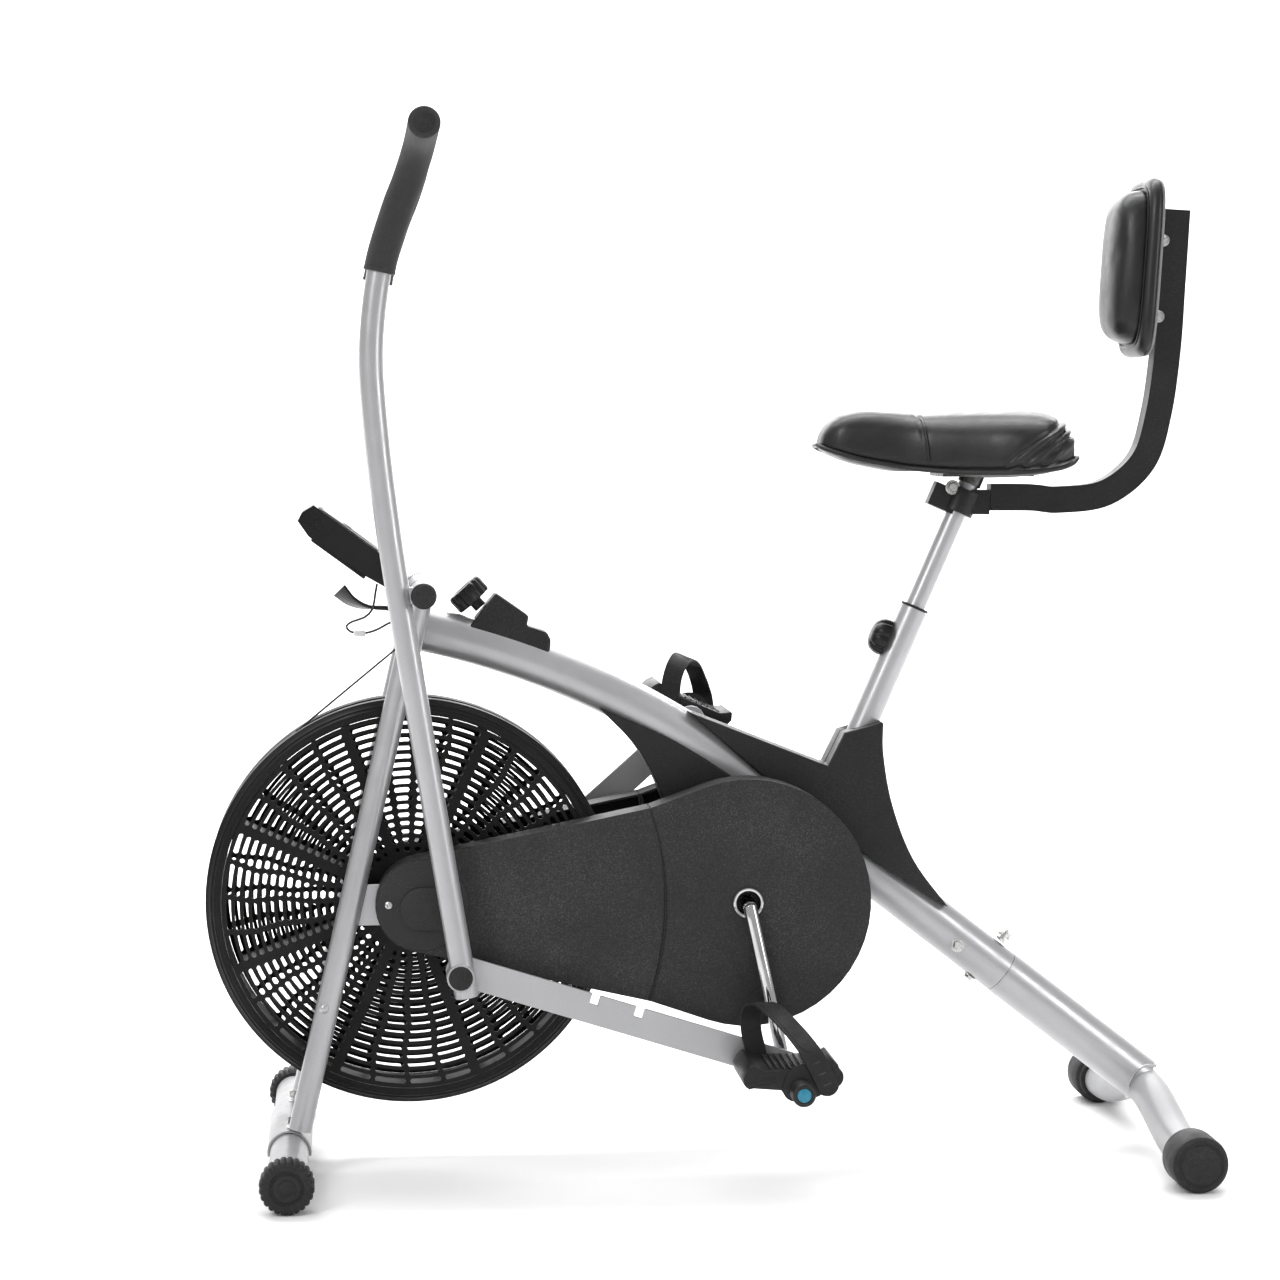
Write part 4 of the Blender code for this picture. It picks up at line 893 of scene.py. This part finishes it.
# ---- Wheels, floor caps ----------------------------------------------------------------
def make_feet():
    for side, sign in SIDES:
        low = 0.219
        face = low + 0.0295
        profile = [(0.0065, low), (0.0235, low), (0.027, low + 0.003), (0.0284, low + 0.006),
                   (0.0284, face - 0.006), (0.0268, face - 0.0018), (0.0235, face), (0.018, face - 0.0002),
                   (0.0168, face - 0.0016), (0.0152, face - 0.0016), (0.014, face - 0.0002), (0.01, face),
                   (0.0085, face - 0.0012), (0.0065, face - 0.0012), (0.0052, face - 0.0004),
                   (0, face - 0.0004)]
        wheel = lathe(f"front_wheel_{side}_tread", profile, FRONT, Y * sign, 144,
                      lambda a, r, h: r - (0.0021 * (1 - abs(sin(12 * a)) ** 0.55) if r > 0.0265 else 0))
        keep(wheel, RUBBER, f"wheel_{side}", [f"front_wheel_{side}"])
        mouth, end = 0.192, 0.249
        profile = [(0.0208, mouth), (0.0248, mouth), (0.0255, mouth + 0.0008), (0.0255, mouth + 0.007),
                   (0.029, mouth + 0.0095), (0.0302, mouth + 0.0125), (0.0302, end - 0.007),
                   (0.0292, end - 0.0026), (0.0268, end - 0.0004), (0.024, end), (0.023, end - 0.001),
                   (0.0216, end - 0.001), (0.0206, end), (0, end)]
        cap = lathe(f"rear_cap_{side}_moulding", profile, Vector((REAR_X, 0, 0.0303)), Y * sign, 72)
        keep(cap, RUBBER, "frame", [f"rear_cap_{side}"])


# ---- Saddle and backrest ---------------------------------------------------------------
def ring_mesh(name, rings, sharp=60):
    """A closed skin through rings of equally many points, its ends filled."""
    bm = bmesh.new()
    loops = [[bm.verts.new(p) for p in ring] for ring in rings]
    count = len(loops[0])
    for a, b in zip(loops, loops[1:]):
        for k in range(count):
            bm.faces.new((a[k], a[(k + 1) % count], b[(k + 1) % count], b[k]))
    for loop in (loops[0], loops[-1]):
        centre = bm.verts.new(sum((v.co for v in loop), Vector()) / count)
        for k in range(count):
            bm.faces.new((loop[k], loop[(k + 1) % count], centre))
    return from_bmesh(name, bm, sharp)


def puffed(obj, voxel, cap, pressure=4.0):
    """Swells a closed form like stuffed fabric by a cloth simulation, moving no point more than cap."""
    name = obj.name
    remesh = obj.modifiers.new("remesh", "REMESH")
    remesh.mode, remesh.voxel_size = "VOXEL", voxel
    skin = evaluated(obj)
    bpy.data.objects.remove(obj)
    start = [v.co.copy() for v in skin.vertices]
    obj = placed(name, skin)
    cloth = obj.modifiers.new("cloth", "CLOTH")
    cloth.settings.use_pressure = True
    cloth.settings.uniform_pressure_force = pressure
    cloth.settings.effector_weights.gravity = 0.0
    cloth.settings.quality = 6
    scene = bpy.context.scene
    for step in range(1, 21):
        scene.frame_set(step)
    moved = evaluated(obj)
    scene.frame_set(1)
    obj.modifiers.remove(cloth)
    for vertex, first, now in zip(skin.vertices, start, moved.vertices):
        shift = now.co - first
        vertex.co = first + shift * min(1.0, cap / max(shift.length, 1e-9))
    bpy.data.meshes.remove(moved)
    bm = bmesh.new()
    bm.from_mesh(obj.data)
    for _ in range(2):
        bmesh.ops.smooth_vert(bm, verts=bm.verts, factor=0.5, use_axis_x=True, use_axis_y=True,
                              use_axis_z=True)
    bm.to_mesh(obj.data)
    bm.free()
    for face in obj.data.polygons:
        face.use_smooth = True
    return obj


def baked(obj, levels):
    """Applies a subdivision."""
    made = obj.modifiers.new("fine", "SUBSURF")
    made.levels = made.render_levels = levels
    return applied(obj)


# Sections of the saddle from nose to tail: x, half width, lowest and highest point.
SADDLE = [(0.1265, 0.017, 0.772, 0.779), (0.132, 0.026, 0.7685, 0.793), (0.146, 0.0375, 0.7635, 0.806),
          (0.168, 0.043, 0.757, 0.81), (0.19, 0.0475, 0.7525, 0.8105), (0.215, 0.053, 0.748, 0.809),
          (0.236, 0.062, 0.7455, 0.807), (0.262, 0.079, 0.7435, 0.808), (0.285, 0.0955, 0.7425, 0.81),
          (0.31, 0.111, 0.7425, 0.8115), (0.335, 0.1195, 0.7435, 0.812), (0.358, 0.12, 0.7455, 0.811),
          (0.376, 0.115, 0.7485, 0.807), (0.389, 0.102, 0.753, 0.798), (0.3965, 0.088, 0.758, 0.785)]


def saddle_rings(fine, tops):
    """Boxy cross sections: bulging above the waist, tucked in below it."""
    rings = []
    for place, top in zip(fine, tops):
        x, wide, low, high = place.x, place.y, place.z, top.z
        waist = low + (high - low) * 0.24
        ring = []
        for k in range(56):
            a = 2 * pi * k / 56
            c, s = cos(a), sin(a)
            if s >= 0:
                y = boxed(c, 0.62) * wide
                z = waist + (high - waist) * s ** 0.54
            else:
                y = boxed(c, 0.45) * wide * 0.985
                z = waist - (waist - low) * abs(s) ** 0.35
            ring.append((x, y, z))
        rings.append(ring)
    return rings


def sew_saddle(pad):
    """Flattens the pad over its pan, sinks the cross seam and folds the vinyl at the tail."""
    normals = [vertex.normal.copy() for vertex in pad.data.vertices]
    for vertex, normal in zip(pad.data.vertices, normals):
        p = vertex.co
        if p.z < 0.752 and abs(p.y) < 0.07:
            p.z = max(p.z, 0.7475)
        upper = max(0.0, min(1.0, (p.z - 0.757) / 0.012))
        seam = abs(p.x - (0.236 - 0.1 * (p.z - 0.775)))
        p.z += 0.0011 * exp(-((seam - 0.0035) / 0.0022) ** 2) * upper
        p.z -= 0.0016 * exp(-(seam / 0.0016) ** 2) * upper
        side = max(0.0, min(1.0, (abs(p.y) - 0.035) / 0.03))
        for fold in range(3):
            t = (p.x - 0.312 - 0.018 * fold) / 0.066
            if 0.0 < t < 1.25 and side > 0:
                off = p.z - (0.75 + 0.05 * t ** 0.75)
                fade = min(1.0, t / 0.2) * side
                shift = -0.0034 * exp(-(off / 0.0021) ** 2) + 0.0018 * exp(-((off + 0.0065) / 0.0045) ** 2)
                p += normal * shift * fade


def make_saddle():
    fine = smooth_path([(x, w, low) for x, w, low, _ in SADDLE], 3)
    tops = smooth_path([(x, 0, top) for x, _, _, top in SADDLE], 3)
    pad = ring_mesh("saddle_skin", saddle_rings(fine, tops))
    pad = baked(puffed(pad, 0.0045, 0.0022), 1)
    sew_saddle(pad)
    keep(pad, VINYL, "seat", ["saddle_pad"])
    skirt = []
    for k in range(97):
        t = k / 96
        i = t * 2 * (len(fine) - 1)
        flip = -1 if i <= len(fine) - 1 else 1
        i = i if flip < 0 else 2 * (len(fine) - 1) - i
        j = min(int(i), len(fine) - 2)
        place = fine[j].lerp(fine[j + 1], i - j)
        skirt.append((place.x, flip * place.y, place.z + 0.004))
    edge = sweep("saddle_skirt_bead", skirt[:-1], 0.0026, 10, closed=True)
    keep(edge, VINYL, "seat")
    line = []
    for k in range(33):
        a = pi * k / 32
        y, z = cos(a), sin(a)
        y = boxed(y, 0.62) * 0.0632
        z = 0.759 + (0.8066 - 0.759) * z ** 0.54
        line.append((0.2385 - 0.1 * (z - 0.775), y, z))
    keep(sweep("saddle_cross_piping", line, 0.0014, 8), VINYL, "seat")


def backrest_loop(depth, half_wide, half_tall, power=0.45, count=72):
    middle, lean = Vector((0.494, 0, 0.967)), Matrix.Rotation(radians(3.8), 3, "Y")
    loop = []
    for k in range(count):
        a = 2 * pi * k / count
        y = boxed(cos(a), power) * half_wide
        z = boxed(sin(a), power) * half_tall
        loop.append(middle + lean @ Vector((depth, y, z)))
    return loop


def make_backrest():
    profile = ((-0.0462, 0.01, 0.03), (-0.046, 0.02, 0.045), (-0.045, 0.03, 0.058),
               (-0.0428, 0.0385, 0.068), (-0.039, 0.044, 0.0745), (-0.033, 0.048, 0.0795),
               (-0.025, 0.0505, 0.0825), (-0.017, 0.052, 0.0845), (-0.012, 0.052, 0.0845),
               (-0.008, 0.05, 0.082))
    pad = ring_mesh("backrest_skin", [backrest_loop(*row, power=0.58) for row in profile])
    pad = baked(puffed(pad, 0.0045, 0.002), 1)
    keep(pad, VINYL, "seat", ["backrest_pad"])
    rim = ((-0.0162, 0.0525, 0.0855), (-0.0168, 0.056, 0.0895), (-0.0152, 0.0592, 0.0935),
           (-0.0118, 0.0612, 0.0962), (-0.008, 0.0618, 0.0975), (-0.005, 0.0612, 0.097),
           (-0.0036, 0.0595, 0.0955), (-0.003, 0.057, 0.093))
    roll = ring_mesh("backrest_rim_roll", [backrest_loop(*row) for row in rim], 50)
    keep(roll, VINYL, "seat")
    board = ((-0.0032, 0.056, 0.0915), (-0.0031, 0.0588, 0.0948), (-0.0022, 0.0596, 0.0958),
             (-0.0006, 0.0596, 0.0958), (0.0, 0.0588, 0.095), (0.0, 0.056, 0.0915))
    keep(ring_mesh("backrest_board", [backrest_loop(*row) for row in board], 30), BOARD, "seat")
    seam = backrest_loop(-0.0172, 0.0536, 0.0865)
    keep(sweep("backrest_seam_cord", seam, 0.0011, 8, closed=True), VINYL, "seat")


# ---- Pedals and toe straps ---------------------------------------------------------------
def band(name, path, half_wide, half_thick, sign, tail):
    """A flat strap on a path, with rounded edges and a rounded tail."""
    rings = []
    for i, place in enumerate(path):
        along = heading(path, i)
        out = Vector((0, -along.z, along.y)).normalized() * sign
        left = len(path) - 1 - i
        wide = along.cross(out).normalized()
        w = half_wide * (sqrt(max(1 - (1 - left / tail) ** 2, 0.06)) if left < tail else 1.0)
        thick = wide.cross(along).normalized()
        shape = ((-1, -0.5), (-0.96, -1), (-0.5, -1), (0, -1), (0.5, -1), (0.96, -1), (1, -0.5), (1, 0.5),
                 (0.96, 1), (0.5, 1), (0, 1), (-0.5, 1), (-0.96, 1), (-1, 0.5))
        rings.append([place + wide * a * w + thick * b * half_thick for a, b in shape])
    return ring_mesh(name, rings, 50)


PEDAL_MIDDLE = 0.171


def pedal_body(side, sign):
    """A pedal round a pin at the origin, level."""
    body = [(-0.056, 0.003), (-0.0585, 0.006), (-0.0598, 0.013), (-0.056, 0.0205), (-0.0515, 0.0258),
            (-0.049, 0.0262), (-0.043, 0.0232), (-0.036, 0.0208), (0.026, 0.0208), (0.032, 0.0235),
            (0.037, 0.0268), (0.0392, 0.026), (0.0418, 0.018), (0.0385, 0.0095), (0.034, 0.0042),
            (0.012, 0.0005), (0.0, -0.002), (-0.012, -0.0008)]
    pieces = [plate(f"pedal_body_{side}", [body], sign * PEDAL_MIDDLE, 0.046, 0.0014, 40)]
    for k in range(9):
        x = -0.03 + 0.0068 * k
        pieces.append(block(f"tread_{side}_{k}", (0.0028, 0.078, 0.0022), (x, sign * PEDAL_MIDDLE, 0.0212),
                            None, 0.0008, 1))
    for k in range(3):
        pieces.append(block(f"ledge_{side}_{k}", (0.03, 0.001, 0.0016),
                            (-0.04, sign * 0.2172, 0.0055 + 0.0045 * k),
                            Matrix.Rotation(radians(-12), 3, "Y"), 0.0004, 1))
    cage = [(-0.02, 0.0), (-0.012, 0.02), (0.004, 0.0275), (0.022, 0.0215), (0.03, 0.006), (0.02, -0.006),
            (0.0, -0.012), (-0.013, -0.0095)]
    cheek = [tuple(p) for p in smooth_path([*cage, cage[0]], 4)][:-1]
    pieces.append(plate(f"pedal_cheek_{side}", [cheek], sign * 0.2165, 0.0022, 0.0008, 40))
    ear = arc((0.034, 0.012), 0.0115, 0, 360, 30)[:-1]
    pieces.append(plate(f"pedal_ear_{side}", [ear], sign * 0.205, 0.01, 0.0015, 40))
    profile = [(0, 0.1166), (0.0112, 0.1166), (0.0124, 0.118), (0.0124, 0.243), (0.0114, 0.2452),
               (0.01, 0.246), (0.0078, 0.246), (0.0075, 0.245), (0, 0.245)]
    pieces.append(lathe(f"pedal_barrel_{side}", profile, (0, 0, 0), Y * sign, 48))
    return joined(f"pedal_{side}_moulding", *pieces)


def toe_strap(side, sign, rise):
    """A strap over a level pedal, with its raised panel, and near its end three dark blocks painted as the
    shade in its slots.
    """
    places = [(-0.0305, 0.1225, 0.004), (-0.035, 0.1225, 0.024), (-0.0395, 0.1226, 0.044),
              (-0.0405, 0.1265, 0.062), (-0.0375, 0.138, 0.0745), (-0.031, 0.153, 0.079),
              (-0.021, 0.169, 0.0745), (-0.01, 0.186, 0.064), (0.001, 0.2035, 0.052), (0.011, 0.217, 0.038),
              (0.0205, 0.2205, 0.02), (0.0285, 0.2205, 0.003), (0.032, 0.2205, -0.005)]
    path = smooth_path([(x, y * sign, z * rise) for x, y, z in places], 8)
    loop = band(f"toe_strap_{side}", path, 0.011, 0.0012, sign, 9)
    inset = band(f"toe_strap_panel_{side}", path[36:72], 0.0075, 0.0016, sign, 5)
    strap = joined(f"pedal_strap_{side}_moulding", loop, inset)
    # The slots are not cut: each is a dark block, painted shade where a slot would open.
    slots = []
    for k, i in enumerate((76, 81, 86)):
        at, ahead = path[i], (path[i + 1] - path[i - 1]).normalized()
        wide = ahead.cross(Y * sign).normalized()
        turn = Matrix((wide, ahead.cross(wide), ahead)).transposed()
        slots.append(block(f"slot_{side}_{k}", (0.009, 0.0028, 0.003), at, turn, 0.001, 2))
    return strap, joined(f"strap_slot_painted_shade_{side}", *slots)


def make_pedals():
    for side, sign in SIDES:
        pin = PINS[side]
        tilt, rise = (0.0, 1.0) if sign < 0 else (radians(23), 0.8)
        spin = Matrix.Translation(pin) @ Matrix.Rotation(tilt, 4, "Y")
        pedal = pedal_body(side, sign)
        pedal.data.transform(spin)
        keep(pedal, PEDAL_PLASTIC, f"step_{side}", [f"pedal_{side}"])
        dot = lathe(f"pedal_dot_{side}", [(0, 0.24585), (0.0066, 0.24585), (0.0072, 0.2455),
                                          (0.0072, 0.2448), (0, 0.2448)], pin, Y * sign, 36)
        keep(dot, BLUE, f"step_{side}")
        strap, holes = toe_strap(side, sign, rise)
        strap.data.transform(spin)
        keep(strap, RUBBER, f"step_{side}", [f"pedal_strap_{side}"])
        # holes are the dark slot blocks: near-black painted shade, not real openings.
        holes.data.transform(spin)
        keep(holes, GLASS_AND_SLOT_SHADE, f"step_{side}")


# ---- Knobs and console ---------------------------------------------------------------------
def make_knobs():
    axis = Vector((-cos(SEAT_LEAN), 0, sin(SEAT_LEAN)))
    at = SEAT_FOOT + SEAT_UP * 0.0932
    knob = lathe("seat_knob_lobed", [(0, 0.0333), (0.009, 0.0331), (0.0135, 0.0318), (0.0172, 0.0288),
                                     (0.0195, 0.0245), (0.0203, 0.02), (0.0204, 0.0162), (0.0195, 0.0157),
                                     (0, 0.0157)], at, axis, 96,
                 lambda a, r, h: r * (1 - 0.1 * max(0.0, cos(7 * a)) ** 2) if r > 0.012 else r)
    keep(knob, SMOOTH, "seat_clamp", ["seat_knob"])
    base, axis = Vector((-0.2369, 0, 0.6006)), Vector((-0.672, 0, 0.74)).normalized()
    knob = lathe("tension_knob_lobed", [(0, 0.03), (0.012, 0.03), (0.0135, 0.0308), (0.018, 0.0309),
                                        (0.02, 0.0292), (0.0205, 0.026), (0.0205, 0.0135), (0.0196, 0.0116),
                                        (0.009, 0.0108), (0.007, 0.01), (0.007, 0.0023), (0, 0.0023)], base,
                 axis, 120, lambda a, r, h: r - 0.0016 * abs(cos(8 * a)) ** 3 if r > 0.019 else r)
    keep(knob, SMOOTH, "tension", ["tension_knob"])


def make_console():
    soft_edges("console_case", SMOOTH, 0.003, 30)
    face = Vector((0.5933, 0, 0.805))
    along = Vector((-0.805, 0, 0.5933))
    turn = Matrix((along, face.cross(along), face)).transposed()
    middle = Vector((-0.382, 0, 0.6889))
    frame_at = middle - face * 0.0002 + along * -0.002
    bezel = block("console_bezel", (0.078, 0.088, 0.003), frame_at, turn, 0.0014, 3)
    keep(bored(bezel, middle, face, 0.0067, -0.01, 0.01), DULL, "frame")
    keep(block("console_window", (0.03, 0.06, 0.0012), frame_at + along * 0.018 + face * 0.0014, turn,
               0.0005, 2), GLASS_AND_SLOT_SHADE, "frame")
    keep(block("console_back_lid", (0.07, 0.08, 0.004), Vector((-0.3905, 0, 0.658)) - face * 0.001, turn,
               0.0014, 2), DULL, "frame")
    button = lathe("console_button_dome", [(0, 0.0021), (0.0034, 0.002), (0.0054, 0.0014), (0.0061, 0.0002),
                                           (0.0061, -0.0016), (0, -0.0016)], middle, face, 36)
    button.data.transform(Matrix.Translation(face * 0.0012))
    keep(button, BOARD, "button", ["console_button"])
    strip = smooth_path([(-0.3905, 0, 0.6215), (-0.378, 0, 0.61), (-0.362, 0, 0.6035), (-0.342, 0, 0.602),
                         (-0.317, 0, 0.599)], 6)
    rows = []
    for i, p in enumerate(strip):
        t = 1 - i / (len(strip) - 1)
        ahead = heading(strip, i)
        up = Vector((-ahead.z, 0, ahead.x))
        half, twist = 0.002, radians(38) * max(0.0, (t - 0.35) / 0.65)
        wide = Y * cos(twist) - up * sin(twist)
        thick = up * cos(twist) + Y * sin(twist)
        rows.append([p + wide * a * 0.013 + thick * b * half
                     for a, b in ((-1, -0.6), (-0.9, -1), (0, -1), (0.9, -1), (1, -0.6), (1, 0.6), (0.9, 1),
                                  (0, 1), (-0.9, 1), (-1, 0.6))])
    keep(ring_mesh("console_bracket_strip", rows, 50), BLACK_PAINT, "frame", ["console_bracket"])


# ---- Floor and light ----------------------------------------------------------------
def make_stage():
    floor = bpy.data.meshes.new("floor")
    reach, depth, height, bend = 7.0, 4.5, 6.0, 1.2
    bm = bmesh.new()
    profile = [(-reach, 0.0), (depth - bend, 0.0)]
    profile += [(depth - bend + bend * sin(a), bend - bend * cos(a))
                for a in (pi / 2 * i / 12 for i in range(1, 13))]
    profile += [(depth, height)]
    rows = [[bm.verts.new((x, y, z)) for x in (-reach, reach)] for y, z in profile]
    for a, b in zip(rows, rows[1:]):
        bm.faces.new((a[0], a[1], b[1], b[0])).smooth = True
    bm.to_mesh(floor)
    bm.free()
    obj = placed("floor", floor)
    s = Shader("studio_floor", 0.62, Specular_IOR_Level=0.25)
    s.colour((0.3, grey(0.86)), (0.7, grey(0.88)), by=s.noise(1.5, 3))
    obj.data.materials.append(s.mat)


def area_light(name, place, target, size, power):
    data = bpy.data.lights.new(name, "AREA")
    data.shape, data.size, data.size_y, data.energy = "RECTANGLE", size[0], size[1], power
    light = placed(name, data)
    light.location = place
    light.rotation_euler = (Vector(target) - Vector(place)).to_track_quat("-Z", "Y").to_euler()


def make_lights():
    world = bpy.data.worlds.new("studio")
    world.use_nodes = True
    background = world.node_tree.nodes["Background"]
    background.inputs["Color"].default_value = (1.0, 1.0, 1.0, 1.0)
    background.inputs["Strength"].default_value = 0.55
    bpy.context.scene.world = world
    target = (0.0, 0.0, 0.5)
    area_light("key", (-2.2, -2.6, 2.6), target, (1.0, 1.8), 62)
    area_light("fill", (2.8, -2.0, 1.4), target, (0.8, 1.6), 30)
    area_light("top", (0.0, 0.4, 3.4), target, (3.0, 2.0), 46)
    area_light("back", (0.4, 3.2, 2.2), target, (3.0, 1.5), 34)
    area_light("backdrop", (0.0, 1.6, 4.2), (0.0, 4.5, 1.4), (6.0, 1.0), 420)
    view = bpy.context.scene.view_settings
    view.view_transform, view.look = "Standard", "None"
    view.exposure = 0.0


make_camera()
make_cords()
make_fan()
make_cover_details()
make_guards()
make_fasteners()
make_tubes()
make_levers()
make_feet()
make_saddle()
make_backrest()
make_pedals()
make_knobs()
make_console()
finish_nodes()
make_stage()
make_lights()
